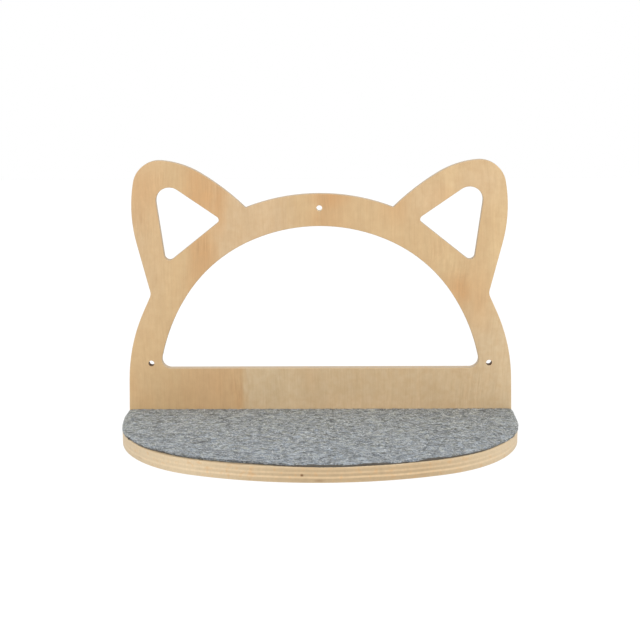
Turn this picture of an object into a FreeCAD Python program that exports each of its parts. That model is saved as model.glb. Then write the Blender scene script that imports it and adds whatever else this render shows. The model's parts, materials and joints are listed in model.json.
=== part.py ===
import FreeCAD, Part
import math
import os
import Sketcher

# A wall-mounted cat perch of birch plywood: a flat frame with the outline of a cat's head,
# a D-shaped shelf fixed to its foot from behind, and a felt pad glued on the shelf.
# Millimetres. +Z is up, the wall is the plane Y = 0 and the shelf reaches towards -Y.
# The origin is on the wall face, on the centre line, at the underside of frame and shelf.

# Driving dimensions: name, value, what it is. Angles are degrees.
SIZES = [
    ("panel_width", 400.0, "frame: width at the foot"),
    ("panel_thickness", 9.0, "frame: plywood thickness"),
    ("side_angle", 1.7, "frame: inward lean of each side at the foot"),
    ("side_run", 51.0, "frame: straight length of each side"),
    ("cheek_radius", 184.0, "frame: round of the cheek"),
    ("cheek_angle", 23.2, "frame: how far the cheek turns inward"),
    ("cheek_run", 16.0, "frame: straight length from cheek to neck"),
    ("neck_radius", 10.0, "frame: hollow between cheek and ear"),
    ("neck_angle", 38.8, "frame: how far the neck turns back outward"),
    ("ear_run", 51.0, "frame: straight length up the ear's outer side"),
    ("ear_side_radius", 146.0, "frame: round of the ear's outer side"),
    ("ear_side_angle", 24.7, "frame: turn of the ear's outer side"),
    ("ear_tip_radius", 27.0, "frame: round of the ear tip"),
    ("ear_tip_angle", 84.0, "frame: turn of the ear tip"),
    ("ear_crown_radius", 90.0, "frame: round just inside the tip"),
    ("ear_crown_angle", 26.4, "frame: turn of that round"),
    ("ear_slope_radius", 247.0, "frame: round of the ear's inner slope, down to the head"),
    ("head_radius", 207.0, "frame: round of the top of the head, between the ears"),
    ("bridge_depth", 32.8, "frame: wood between window and top of the head"),
    ("rail_height", 62.3, "window: height of its level sill"),
    ("side_bar", 35.8, "window: from the foot's width in to the window's widest point"),
    ("window_corner_radius", 9.4, "window: lower corners"),
    ("window_corner_angle", 102.3, "window: turn of a lower corner"),
    ("jowl_radius", 199.0, "window: lower round of each side"),
    ("jowl_angle", 21.5, "window: turn of that round"),
    ("shoulder_radius", 151.0, "window: upper round of each side"),
    ("shoulder_angle", 30.4, "window: turn of that round"),
    ("ear_hole_top_across", 9.8, "ear hole: top corner, inward of the ear tip's centre"),
    ("ear_hole_top_down", 14.0, "ear hole: top corner, below the ear tip's centre"),
    ("ear_hole_top_radius", 13.9, "ear hole: top corner's round"),
    ("ear_hole_foot_across", 8.2, "ear hole: lower corner, inward of the ear tip's centre"),
    ("ear_hole_foot_down", 69.4, "ear hole: lower corner, below the ear tip's centre"),
    ("ear_hole_foot_radius", 5.2, "ear hole: lower corner's round"),
    ("ear_hole_inner_across", 55.3, "ear hole: inner corner, inward of the ear tip's centre"),
    ("ear_hole_inner_down", 33.4, "ear hole: inner corner, below the ear tip's centre"),
    ("ear_hole_inner_radius", 4.0, "ear hole: inner corner's round"),
    ("wall_hole_diameter", 6.0, "frame: the three holes for the wall screws"),
    ("wall_hole_inset", 24.9, "frame: lower wall holes, in from the foot's width"),
    ("wall_hole_height", 67.8, "frame: lower wall holes above the underside"),
    ("bridge_hole_rise", 18.2, "frame: upper wall hole above the window"),
    ("shelf_depth", 180.0, "shelf: from the frame's face to its front"),
    ("shelf_thickness", 15.0, "shelf: plywood thickness"),
    ("shelf_front_radius", 325.0, "shelf: round of the front"),
    ("shelf_corner_radius", 127.0, "shelf: round of the front corners"),
    ("felt_thickness", 3.0, "felt pad: thickness"),
    ("felt_gap", 0.3, "felt pad: gap to the frame's face"),
    ("eased_edge", 0.6, "plywood: sanded round of the cut edges"),
    ("screw_count", 4.0, "shelf screws: how many"),
    ("screw_inset", 50.0, "shelf screws: outermost ones, in from the ends of the shelf"),
    ("screw_length", 40.0, "shelf screws: length over the head"),
    ("screw_head_diameter", 8.0, "shelf screws: countersunk head"),
    ("screw_rim", 0.4, "shelf screws: straight rim of the head"),
    ("screw_sink", 0.3, "shelf screws: depth of the head below the wall face"),
    ("screw_diameter", 4.0, "shelf screws: shank and thread"),
    ("screw_core_diameter", 2.8, "shelf screws: core between the threads"),
    ("screw_shank", 12.0, "shelf screws: plain length below the wall face"),
    ("screw_tip", 4.0, "shelf screws: length of the point"),
    ("thread_pitch", 1.8, "shelf screws: from one thread ridge to the next"),
    ("thread_foot", 0.9, "shelf screws: width of a thread ridge at the core"),
    ("recess_width", 1.1, "shelf screws: width of the cross recess"),
    ("recess_length", 4.4, "shelf screws: length of the cross recess"),
    ("recess_depth", 1.8, "shelf screws: depth of the cross recess"),
    ("screw_play", 0.05, "shelf screws: gap all round in the wood"),
    ("dowel_inset", 100.0, "dowels: in from the ends of the shelf"),
    ("dowel_diameter", 6.0, "dowels: diameter"),
    ("dowel_length", 24.0, "dowels: length"),
    ("dowel_in_panel", 6.0, "dowels: length held in the frame"),
    ("dowel_end_play", 0.5, "dowels: room for glue past the end in the shelf"),
    ("dowel_play", 0.05, "dowels: gap all round in the wood"),
    ("dowel_chamfer", 0.7, "dowels: chamfer of the ends"),
    ("flute_radius", 0.35, "dowels: round of a glue flute"),
    ("flute_count", 10.0, "dowels: how many glue flutes"),
]

UPRIGHT = 90
FULL_TURN = 360
OUTWARD = FreeCAD.Vector(0, -1, 0)
UPWARD = FreeCAD.Vector(0, 0, 1)

doc = FreeCAD.newDocument("cat_perch")

# The sheet that holds the driving dimensions.
sheet = doc.addObject("Spreadsheet::Sheet", "sizes")
for row, (alias, value, note) in enumerate(SIZES, start=1):
    sheet.set("A%d" % row, note)
    sheet.set("B%d" % row, str(value))
    sheet.setAlias("B%d" % row, alias)
doc.recompute()


class Size:
    """A size with the formula that ties it to the sheet."""

    def __init__(self, value, formula):
        self.value = value
        self.formula = formula

    def joined(self, other, sign, value):
        """This size and another, or a plain number, joined by a sign."""
        formula = other.formula if isinstance(other, Size) else str(other)
        return Size(value, "(%s %s %s)" % (self.formula, sign, formula))

    def __add__(self, other):
        return self.joined(other, "+", self.value + other.value)

    def __sub__(self, other):
        return self.joined(other, "-", self.value - other.value)

    def __mul__(self, number):
        return self.joined(number, "*", self.value * number)

    def __truediv__(self, number):
        return self.joined(number, "/", self.value / number)

    def __neg__(self):
        return Size(-self.value, "(0 - %s)" % self.formula)


def size(alias):
    """A driving dimension."""
    return Size(float(sheet.get(alias)), "sizes." + alias)


NOTHING = Size(0, "0")

# Helpers for bodies and sketches.

def origin_plane(body, role):
    """The plane of a body's own origin that has this role."""
    return [item for item in body.Origin.OriginFeatures if item.Role == role][0]


def new_body(label):
    """An empty body whose label names the sub-part."""
    body = doc.addObject("PartDesign::Body", label)
    body.Label = label
    return body


def new_sketch(body, label, role, ahead=None):
    """A sketch on an origin plane of its body, or a distance ahead along the plane's normal."""
    sketch = body.newObject("Sketcher::SketchObject", label)
    sketch.AttachmentSupport = [(origin_plane(body, role), "")]
    sketch.MapMode = "FlatFace"
    if ahead:
        sketch.setExpression("AttachmentOffset.Base.z", ahead.formula)
    doc.recompute()
    return sketch


def flat(across, up):
    """A point in a sketch."""
    return FreeCAD.Vector(across, up, 0)


def rule(sketch, kind, *places):
    """A rule of the sketch that holds no size, such as tangent or vertical."""
    sketch.addConstraint(Sketcher.Constraint(kind, *places))


def bind(sketch, kind, places, amount):
    """A dimension of the sketch, tied to the sheet."""
    value = math.radians(amount.value) if kind == "Angle" else amount.value
    index = sketch.addConstraint(Sketcher.Constraint(kind, *places, value))
    name = "dimension_%02d" % index
    sketch.renameConstraint(index, name)
    sketch.setExpression("Constraints." + name, amount.formula)


def place(sketch, index, point, across, up):
    """Fix a point of the sketch, on an axis where a distance is zero."""
    if across.value:
        bind(sketch, "DistanceX", (-1, 1, index, point), across)
    else:
        rule(sketch, "PointOnObject", index, point, -2)
    if up.value:
        bind(sketch, "DistanceY", (-1, 1, index, point), up)
    else:
        rule(sketch, "PointOnObject", index, point, -1)


def circle(sketch, across, up, radius):
    """A circle by its centre and radius."""
    centre = flat(across.value, up.value)
    index = sketch.addGeometry(Part.Circle(centre, UPWARD, radius.value))
    bind(sketch, "Radius", (index,), radius)
    place(sketch, index, 3, across, up)


def polygon(sketch, corners):
    """A closed outline of straight lines."""
    points = [flat(across.value, up.value) for across, up in corners]
    lines = []
    for start, end in zip(points, points[1:] + points[:1]):
        lines.append(sketch.addGeometry(Part.LineSegment(start, end)))
    for number, (across, up) in enumerate(corners):
        rule(sketch, "Coincident", lines[number - 1], 2, lines[number], 1)
        place(sketch, lines[number], 1, across, up)


def pad(body, label, sketch, length):
    """Stock grown from the sketch along its normal."""
    feature = body.newObject("PartDesign::Pad", label)
    feature.Profile = sketch
    feature.setExpression("Length", length.formula)
    doc.recompute()
    return feature


def turned(body, label, sketch):
    """Stock turned about the sketch's upright axis."""
    feature = body.newObject("PartDesign::Revolution", label)
    feature.Profile = sketch
    feature.ReferenceAxis = (sketch, ["V_Axis"])
    feature.Angle = FULL_TURN
    doc.recompute()
    return feature


def pocket(body, label, sketch, depth=None, ahead=True):
    """A cut to a depth or through everything, ahead along the sketch's normal or back from it."""
    before = body.Shape.Volume
    feature = body.newObject("PartDesign::Pocket", label)
    feature.Profile = sketch
    feature.Reversed = ahead
    if depth:
        feature.setExpression("Length", depth.formula)
    else:
        feature.Type = "ThroughAll"
    doc.recompute()
    if body.Shape.Volume >= before:
        raise RuntimeError(label + " cuts nothing")
    return feature


def dressed(body, label, kind, measure, amount, chosen):
    """A fillet or chamfer along the chosen edges of the body as it stands."""
    base = body.Tip
    names = []
    for number, edge in enumerate(base.Shape.Edges, start=1):
        if chosen(edge):
            names.append("Edge%d" % number)
    feature = body.newObject("PartDesign::" + kind, label)
    feature.Base = (base, names)
    feature.setExpression(measure, amount.formula)
    doc.recompute()
    return feature


def lies_at(edge, axis, level):
    """Whether an edge lies in the plane square to an axis at this level, by its ends and middle."""
    near = size("eased_edge").value / 10
    middle = edge.valueAt((edge.FirstParameter + edge.LastParameter) / 2)
    points = [vertex.Point for vertex in edge.Vertexes] + [middle]
    return all(abs(point.dot(axis) - level) < near for point in points)


# An outline is followed like a walk. The heading is a lean from straight up, positive towards +X.
# Each step adds a line or an arc that leaves smoothly from the step before.

class Walk:
    def __init__(self, sketch, start, lean):
        self.sketch = sketch
        self.here = start
        self.lean = math.radians(lean)
        self.last = None

    def join(self, index, first, final):
        """Tie the new piece to the last one, and remember its far end."""
        if self.last:
            rule(self.sketch, "Tangent", *self.last, index, first)
        self.last = (index, final)

    def side(self, way):
        """The direction square to the heading, to the right where way is 1."""
        return flat(math.cos(self.lean), -math.sin(self.lean)) * way

    def line(self, length):
        """A straight step."""
        start = self.here
        self.here = start + flat(math.sin(self.lean), math.cos(self.lean)) * length
        index = self.sketch.addGeometry(Part.LineSegment(start, self.here))
        self.join(index, 1, 2)
        return index

    def arc(self, radius, turn, way):
        """A round step that turns clockwise where way is 1, and the other way where it is -1."""
        centre = self.here + self.side(way) * radius
        before = self.lean
        self.lean += way * math.radians(turn)
        self.here = centre - self.side(way) * radius
        if way > 0:
            span = (math.pi - self.lean, math.pi - before)
        else:
            span = (-before, -self.lean)
        round_line = Part.Circle(centre, UPWARD, radius)
        index = self.sketch.addGeometry(Part.ArcOfCircle(round_line, *span))
        self.join(index, *((2, 1) if way > 0 else (1, 2)))
        return index

    def run(self, name):
        """A straight step whose length is a driving dimension."""
        index = self.line(size(name).value)
        bind(self.sketch, "Distance", (index,), size(name))
        return index

    def bend(self, name, way=1):
        """A round step with driving dimensions NAME_radius and NAME_angle."""
        radius, angle = size(name + "_radius"), size(name + "_angle")
        index = self.arc(radius.value, angle.value, way)
        bind(self.sketch, "Radius", (index,), radius)
        bind(self.sketch, "Angle", (index,), angle)
        return index


def bearing(centre, point):
    """The angle of a point seen from a centre."""
    return math.atan2(point.y - centre.y, point.x - centre.x)


def meeting(centre_a, radius_a, centre_b, radius_b):
    """The higher of the two points where two circles cross."""
    gap = centre_b - centre_a
    along = (gap.Length ** 2 + radius_a ** 2 - radius_b ** 2) / (2 * gap.Length)
    unit = gap / gap.Length
    foot = centre_a + unit * along
    off = flat(-unit.y, unit.x) * math.sqrt(radius_a ** 2 - along ** 2)
    return max(foot + off, foot - off, key=lambda point: point.y)


# The frame. Half of it is drawn, from the centre line out to the left side and back, and mirrored.

panel = new_body("back_panel")
half = new_sketch(panel, "half_outline", "XZ_Plane")
half_width = size("panel_width") / 2

foot = half.addGeometry(Part.LineSegment(flat(0, 0), flat(-half_width.value, 0)))
rule(half, "Coincident", foot, 1, -1, 1)
rule(half, "Horizontal", foot)
bind(half, "Distance", (foot,), half_width)

outer = Walk(half, flat(-half_width.value, 0), size("side_angle").value)
side = outer.run("side_run")
rule(half, "Coincident", side, 1, foot, 2)
bind(half, "Angle", (side,), -size("side_angle") + Size(UPRIGHT, str(UPRIGHT)))
outer.bend("cheek")
outer.run("cheek_run")
outer.bend("neck", -1)
outer.run("ear_run")
outer.bend("ear_side")
ear_tip = outer.bend("ear_tip")
outer.bend("ear_crown")

# The window's side: a level sill, a tight corner and two rounds, then an arch that closes on the
# centre line with a level top.
sill_length = half_width - size("side_bar") - size("window_corner_radius")
inner = Walk(half, flat(0, size("rail_height").value), -UPRIGHT)
sill = inner.line(sill_length.value)
place(half, sill, 1, NOTHING, size("rail_height"))
rule(half, "Horizontal", sill)
bind(half, "Distance", (sill,), sill_length)
inner.bend("window_corner")
inner.bend("jowl")
inner.bend("shoulder")
arch_radius = -inner.here.x / math.cos(inner.lean)
arch = inner.arc(arch_radius, UPRIGHT - math.degrees(inner.lean), 1)
arch_top = inner.here.y
rule(half, "PointOnObject", arch, 3, -2)
rule(half, "PointOnObject", arch, 1, -2)
level = half.addConstraint(Sketcher.Constraint("DistanceY", -1, 1, arch, 1, arch_top))
half.setDriving(level, False)
half.renameConstraint(level, "arch_level")

# The ear's inner slope runs down to the round of the head and meets it in a sharp valley.
head_top = arch_top + size("bridge_depth").value
head_radius = size("head_radius")
head_centre = flat(0, head_top - head_radius.value)
slope_radius = size("ear_slope_radius")
slope_centre = outer.here + outer.side(1) * slope_radius.value
valley = meeting(slope_centre, slope_radius.value, head_centre, head_radius.value)
slope_turn = bearing(slope_centre, outer.here) - bearing(slope_centre, valley)
slope = outer.arc(slope_radius.value, math.degrees(slope_turn), 1)
bind(half, "Radius", (slope,), slope_radius)

head_circle = Part.Circle(head_centre, UPWARD, head_radius.value)
head = half.addGeometry(Part.ArcOfCircle(head_circle, math.pi / 2, bearing(head_centre, valley)))
bind(half, "Radius", (head,), head_radius)
rule(half, "PointOnObject", head, 3, -2)
rule(half, "PointOnObject", head, 1, -2)
rule(half, "Coincident", head, 2, slope, 1)

bridge = half.addGeometry(Part.LineSegment(flat(0, head_top), flat(0, arch_top)))
rule(half, "Coincident", bridge, 1, head, 1)
rule(half, "Coincident", bridge, 2, arch, 1)
bind(half, "DistanceY", (bridge, 2, bridge, 1), size("bridge_depth"))
rail = half.addGeometry(Part.LineSegment(flat(0, size("rail_height").value), flat(0, 0)))
rule(half, "Coincident", rail, 1, sill, 1)
rule(half, "Coincident", rail, 2, foot, 1)


# The three-cornered hole in the ear: three rounds placed from the centre of the ear tip, with
# straight sides drawn tight around them.

def tight_side(first, second):
    """The ends of the straight side that touches two rounds on the left, going first to second."""
    _, centre_a, radius_a = first
    _, centre_b, radius_b = second
    gap = centre_b - centre_a
    facing = bearing(centre_a, centre_b) + math.acos((radius_a - radius_b) / gap.Length)
    out = flat(math.cos(facing), math.sin(facing))
    return centre_a + out * radius_a, centre_b + out * radius_b


tip_centre = half.Geometry[ear_tip].Center
corners = []
for corner in ("top", "inner", "foot"):
    across = size("ear_hole_%s_across" % corner)
    down = size("ear_hole_%s_down" % corner)
    radius = size("ear_hole_%s_radius" % corner)
    corners.append((corner, tip_centre + flat(across.value, -down.value), radius.value))
tight_sides = [tight_side(corners[number - 1], corners[number]) for number in range(len(corners))]
tight_lines = [half.addGeometry(Part.LineSegment(*ends)) for ends in tight_sides]
for number, (corner, centre, radius) in enumerate(corners):
    after = (number + 1) % len(corners)
    span = (bearing(centre, tight_sides[after][0]), bearing(centre, tight_sides[number][1]))
    round_line = Part.Circle(centre, UPWARD, radius)
    index = half.addGeometry(Part.ArcOfCircle(round_line, *span))
    rule(half, "Tangent", tight_lines[number], 2, index, 2)
    rule(half, "Tangent", tight_lines[after], 1, index, 1)
    bind(half, "Radius", (index,), size("ear_hole_%s_radius" % corner))
    bind(half, "DistanceX", (ear_tip, 3, index, 3), size("ear_hole_%s_across" % corner))
    bind(half, "DistanceY", (index, 3, ear_tip, 3), size("ear_hole_%s_down" % corner))

half_board = pad(panel, "half_board", half, size("panel_thickness"))
board = panel.newObject("PartDesign::Mirrored", "whole_board")
board.Originals = [half_board]
board.MirrorPlane = (origin_plane(panel, "YZ_Plane"), [""])
panel.Tip = board
doc.recompute()

# The sanded round along the cut edges of both faces. The foot stays square.
for label, level in (("eased_back", NOTHING), ("eased_front", size("panel_thickness"))):
    dressed(panel, label, "Fillet", "Radius", size("eased_edge"),
            lambda edge: lies_at(edge, OUTWARD, level.value) and not lies_at(edge, UPWARD, 0))

# Three plain holes for the wall screws: one above each end of the rail, one in the bridge.
wall_hole_radius = size("wall_hole_diameter") / 2
wall_hole_across = half_width - size("wall_hole_inset")
arch_level = Size(arch_top, "(half_outline.Constraints.arch_level / 1mm)")
wall_holes = new_sketch(panel, "wall_holes", "XZ_Plane")
circle(wall_holes, -wall_hole_across, size("wall_hole_height"), wall_hole_radius)
circle(wall_holes, wall_hole_across, size("wall_hole_height"), wall_hole_radius)
circle(wall_holes, NOTHING, arch_level + size("bridge_hole_rise"), wall_hole_radius)
pocket(panel, "wall_hole_cuts", wall_holes)

# Where the shelf's screws and dowels stand, half way up the shelf's edge.
screw_count = int(size("screw_count").value)
screw_reach_across = half_width - size("screw_inset")
screw_shares = [2 * number / (screw_count - 1) - 1 for number in range(screw_count)]
screw_places = [screw_reach_across * share for share in screw_shares]
dowel_reach_across = half_width - size("dowel_inset")
dowel_places = [-dowel_reach_across, dowel_reach_across]
edge_middle = size("shelf_thickness") / 2
screw_bore = size("screw_diameter") / 2 + size("screw_play")
dowel_bore = size("dowel_diameter") / 2 + size("dowel_play")


def bores(body, label, places, radius, ahead):
    """A sketch of round holes in a row along the shelf's edge, some way out from the wall."""
    sketch = new_sketch(body, label, "XZ_Plane", ahead)
    for across in places:
        circle(sketch, across, edge_middle, radius)
    return sketch


# Screw holes run right through the frame and are countersunk on the wall face. The countersink
# carries on the line of the head's cone, so it starts outside the head by its sink and rim.
screw_holes = bores(panel, "screw_holes", screw_places, screw_bore, None)
pocket(panel, "screw_hole_cuts", screw_holes)
head_overhang = size("screw_head_diameter") / 2 - size("screw_diameter") / 2
sink = head_overhang + size("screw_sink") + size("screw_rim")


def rims_screw(edge):
    """Whether an edge is the rim of a screw hole on the wall face, which is behind the shelf."""
    if not edge.isClosed() or not lies_at(edge, OUTWARD, 0):
        return False
    return edge.BoundBox.ZMax < size("shelf_thickness").value


dressed(panel, "countersinks", "Chamfer", "Size", sink, rims_screw)

# Dowel sockets stop short of the wall face.
sockets = bores(panel, "dowel_sockets", dowel_places, dowel_bore, size("panel_thickness"))
pocket(panel, "dowel_socket_cuts", sockets, size("dowel_in_panel"), False)


# The shelf and the felt pad share one D-shaped outline: straight back and sides, a broad round
# for each front corner and a flatter round across the front.

def d_outline(body, label, gap):
    """The shelf's outline, with its back edge a gap away from the frame's face."""
    sketch = new_sketch(body, label, "XY_Plane")
    front_radius, corner_radius = size("shelf_front_radius"), size("shelf_corner_radius")
    back = size("panel_thickness") + gap
    front = size("panel_thickness") + size("shelf_depth")
    across = (half_width - corner_radius).value
    front_middle = front_radius.value - front.value
    reach = front_radius.value - corner_radius.value
    corner_middle = front_middle - math.sqrt(reach ** 2 - across ** 2)
    swing = math.asin(across / reach)
    left_back, right_back = flat(-half_width.value, -back.value), flat(half_width.value, -back.value)
    left_turn, right_turn = flat(-half_width.value, corner_middle), flat(half_width.value, corner_middle)
    low = -math.pi / 2
    right_circle = Part.Circle(flat(across, corner_middle), UPWARD, corner_radius.value)
    left_circle = Part.Circle(flat(-across, corner_middle), UPWARD, corner_radius.value)
    front_circle = Part.Circle(flat(0, front_middle), UPWARD, front_radius.value)
    back_line = sketch.addGeometry(Part.LineSegment(right_back, left_back))
    left_line = sketch.addGeometry(Part.LineSegment(left_back, left_turn))
    left_arc = sketch.addGeometry(Part.ArcOfCircle(left_circle, -math.pi, low - swing))
    front_arc = sketch.addGeometry(Part.ArcOfCircle(front_circle, low - swing, low + swing))
    right_arc = sketch.addGeometry(Part.ArcOfCircle(right_circle, low + swing, 0))
    right_line = sketch.addGeometry(Part.LineSegment(right_turn, right_back))
    rule(sketch, "Coincident", back_line, 2, left_line, 1)
    rule(sketch, "Tangent", left_line, 2, left_arc, 1)
    rule(sketch, "Tangent", left_arc, 2, front_arc, 1)
    rule(sketch, "Tangent", front_arc, 2, right_arc, 1)
    rule(sketch, "Tangent", right_arc, 2, right_line, 1)
    rule(sketch, "Coincident", right_line, 2, back_line, 1)
    rule(sketch, "Vertical", left_line)
    rule(sketch, "Vertical", right_line)
    bind(sketch, "Radius", (left_arc,), corner_radius)
    bind(sketch, "Radius", (front_arc,), front_radius)
    rule(sketch, "Equal", left_arc, right_arc)
    rule(sketch, "PointOnObject", front_arc, 3, -2)
    place(sketch, back_line, 2, -half_width, -back)
    place(sketch, back_line, 1, half_width, -back)
    bind(sketch, "DistanceY", (-1, 1, front_arc, 3), front_radius - front)
    return sketch


shelf = new_body("shelf_board")
shelf_outline = d_outline(shelf, "shelf_outline", NOTHING)
pad(shelf, "shelf_stock", shelf_outline, size("shelf_thickness"))


def goes_round(edge):
    """Whether an edge of a flat face goes round the shelf, leaving out the edge on the frame."""
    return not lies_at(edge, OUTWARD, size("panel_thickness").value)


for label, level in (("eased_underside", NOTHING), ("eased_top", size("shelf_thickness"))):
    dressed(shelf, label, "Fillet", "Radius", size("eased_edge"),
            lambda edge: lies_at(edge, UPWARD, level.value) and goes_round(edge))

shelf_face = size("panel_thickness")
screw_reach = size("screw_sink") + size("screw_length") + size("screw_play") - shelf_face
pilots = bores(shelf, "pilot_holes", screw_places, screw_bore, shelf_face)
pocket(shelf, "pilot_hole_cuts", pilots, screw_reach)
dowel_reach = size("dowel_length") - size("dowel_in_panel") + size("dowel_end_play")
shelf_sockets = bores(shelf, "dowel_sockets_in_shelf", dowel_places, dowel_bore, shelf_face)
pocket(shelf, "dowel_socket_in_shelf_cuts", shelf_sockets, dowel_reach)

# The felt pad is drawn on the underside plane and lifted on to the shelf.
felt = new_body("felt_pad")
pad(felt, "felt_stock", d_outline(felt, "felt_outline", size("felt_gap")), size("felt_thickness"))
felt.setExpression("Placement.Base.z", size("shelf_thickness").formula)


# Screws and dowels are drawn upright, with the end that faces the wall at the top, and laid over
# so that they point away from the wall.

def lay_over(body, across, depth):
    """Lay an upright body over, with its top a depth out from the wall face."""
    body.Placement.Rotation = FreeCAD.Rotation(FreeCAD.Vector(1, 0, 0), -UPRIGHT)
    body.setExpression("Placement.Base.x", across.formula)
    body.setExpression("Placement.Base.y", (-depth).formula)
    body.setExpression("Placement.Base.z", edge_middle.formula)


def shelf_screw(label, across):
    """A countersunk wood screw with a plain shank, a ridged thread, a point and a cross recess."""
    screw = new_body(label)
    head = size("screw_head_diameter") / 2
    shank = size("screw_diameter") / 2
    core = size("screw_core_diameter") / 2
    cone_foot = size("screw_rim") + head - shank
    profile = new_sketch(screw, label + "_profile", "XZ_Plane")
    polygon(profile, [
        (NOTHING, NOTHING),
        (head, NOTHING),
        (head, -size("screw_rim")),
        (shank, -cone_foot),
        (shank, -size("screw_shank")),
        (core, -size("screw_shank") - (shank - core)),
        (core, size("screw_tip") - size("screw_length")),
        (NOTHING, -size("screw_length")),
    ])
    turned(screw, label + "_turned", profile)

    # One ridge of the thread, repeated down to the point.
    first = size("screw_shank") + size("thread_pitch")
    ridge = new_sketch(screw, label + "_ridge", "XZ_Plane")
    polygon(ridge, [
        (NOTHING, -first),
        (core, -first),
        (shank, -first - size("thread_foot") / 2),
        (core, -first - size("thread_foot")),
        (NOTHING, -first - size("thread_foot")),
    ])
    ridge_ring = turned(screw, label + "_ring", ridge)
    threaded = size("screw_length") - size("screw_tip") - first
    thread = screw.newObject("PartDesign::LinearPattern", label + "_thread")
    thread.Originals = [ridge_ring]
    thread.Direction = (ridge, ["V_Axis"])
    thread.Reversed = True
    thread.Occurrences = int(threaded.value / size("thread_pitch").value)
    thread.setExpression("Length", (size("thread_pitch") * (thread.Occurrences - 1)).formula)
    screw.Tip = thread
    doc.recompute()

    # The cross recess: two slots across the head.
    recess = new_sketch(screw, label + "_recess", "XY_Plane")
    reach, half_slot = size("recess_length") / 2, size("recess_width") / 2
    polygon(recess, [
        (-reach, -half_slot), (-half_slot, -half_slot), (-half_slot, -reach), (half_slot, -reach),
        (half_slot, -half_slot), (reach, -half_slot), (reach, half_slot), (half_slot, half_slot),
        (half_slot, reach), (-half_slot, reach), (-half_slot, half_slot), (-reach, half_slot),
    ])
    pocket(screw, label + "_recess_cut", recess, size("recess_depth"), False)
    lay_over(screw, across, size("screw_sink"))


def shelf_dowel(label, across):
    """A fluted dowel with chamfered ends."""
    dowel = new_body(label)
    radius = size("dowel_diameter") / 2
    bevel = size("dowel_chamfer")
    profile = new_sketch(dowel, label + "_profile", "XZ_Plane")
    polygon(profile, [
        (NOTHING, NOTHING),
        (radius - bevel, NOTHING),
        (radius, -bevel),
        (radius, bevel - size("dowel_length")),
        (radius - bevel, -size("dowel_length")),
        (NOTHING, -size("dowel_length")),
    ])
    turned(dowel, label + "_turned", profile)
    flute = new_sketch(dowel, label + "_flute", "XY_Plane")
    circle(flute, radius, NOTHING, size("flute_radius"))
    cut = pocket(dowel, label + "_flute_cut", flute, None, False)
    flutes = dowel.newObject("PartDesign::PolarPattern", label + "_flutes")
    flutes.Originals = [cut]
    flutes.Axis = (flute, ["N_Axis"])
    flutes.Angle = FULL_TURN
    flutes.Occurrences = int(size("flute_count").value)
    dowel.Tip = flutes
    doc.recompute()
    lay_over(dowel, across, size("panel_thickness") - size("dowel_in_panel"))


for number, across in enumerate(screw_places, start=1):
    shelf_screw("shelf_screw_%d" % number, across)
for name, across in zip(("left", "right"), dowel_places):
    shelf_dowel("dowel_" + name, across)

doc.recompute()

# Every object must be sound before the sub-parts are written out.
for item in doc.Objects:
    if "Invalid" in item.State or "Error" in item.State:
        raise RuntimeError(item.Name + " did not build")

os.makedirs("parts", exist_ok=True)
for body in doc.findObjects("PartDesign::Body"):
    if body.Shape.isNull() or not body.Shape.isValid() or len(body.Shape.Solids) != 1:
        raise RuntimeError(body.Label + " is not one sound solid")
    body.Shape.exportStep("parts/%s.step" % body.Label)
    box = body.Shape.optimalBoundingBox()
    print("%-14s X %7.1f %7.1f  Y %7.1f %7.1f  Z %7.1f %7.1f  volume %9.0f" % (
        body.Label, box.XMin, box.XMax, box.YMin, box.YMax, box.ZMin, box.ZMax, body.Shape.Volume))
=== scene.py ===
# %% [markdown]
# # Dressing a wall-mounted cat perch
#
# The real object is a cat's head with two ears, sawn from thin birch plywood,
# with a D-shaped plywood shelf at its foot and a grey felt pad on the shelf. Its
# construction comes ready made: nine solid pieces at their real sizes, standing
# where they belong. This lesson gives each piece the finish of the real one,
# makes the felt as a soft mesh with fibres, and photographs the result.
#
# Everything is in metres. X runs along the wall, Y goes into the wall and Z goes
# up. A construction piece stands at the origin with its place in its mesh, so
# Object coordinates in a material are real metres on the real object.

import json
import math

import bmesh
import bpy
import numpy as np
from mathutils import Matrix, Vector, noise


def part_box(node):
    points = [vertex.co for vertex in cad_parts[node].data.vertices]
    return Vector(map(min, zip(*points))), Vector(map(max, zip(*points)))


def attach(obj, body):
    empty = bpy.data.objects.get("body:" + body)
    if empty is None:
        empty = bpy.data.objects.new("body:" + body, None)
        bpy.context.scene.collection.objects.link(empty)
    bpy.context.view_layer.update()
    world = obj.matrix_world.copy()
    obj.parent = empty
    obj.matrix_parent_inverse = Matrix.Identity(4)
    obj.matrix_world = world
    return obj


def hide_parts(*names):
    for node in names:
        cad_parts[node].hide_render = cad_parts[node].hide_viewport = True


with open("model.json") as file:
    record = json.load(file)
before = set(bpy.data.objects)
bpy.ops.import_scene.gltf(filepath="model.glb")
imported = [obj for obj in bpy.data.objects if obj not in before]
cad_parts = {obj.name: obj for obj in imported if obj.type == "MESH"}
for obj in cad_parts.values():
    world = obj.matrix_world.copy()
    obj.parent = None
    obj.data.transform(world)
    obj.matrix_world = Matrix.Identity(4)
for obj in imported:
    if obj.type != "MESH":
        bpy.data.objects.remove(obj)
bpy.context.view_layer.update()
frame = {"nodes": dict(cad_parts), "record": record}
nodes = frame["nodes"]
MM = 0.001

print("pieces:", ", ".join(sorted(nodes)))
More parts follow.
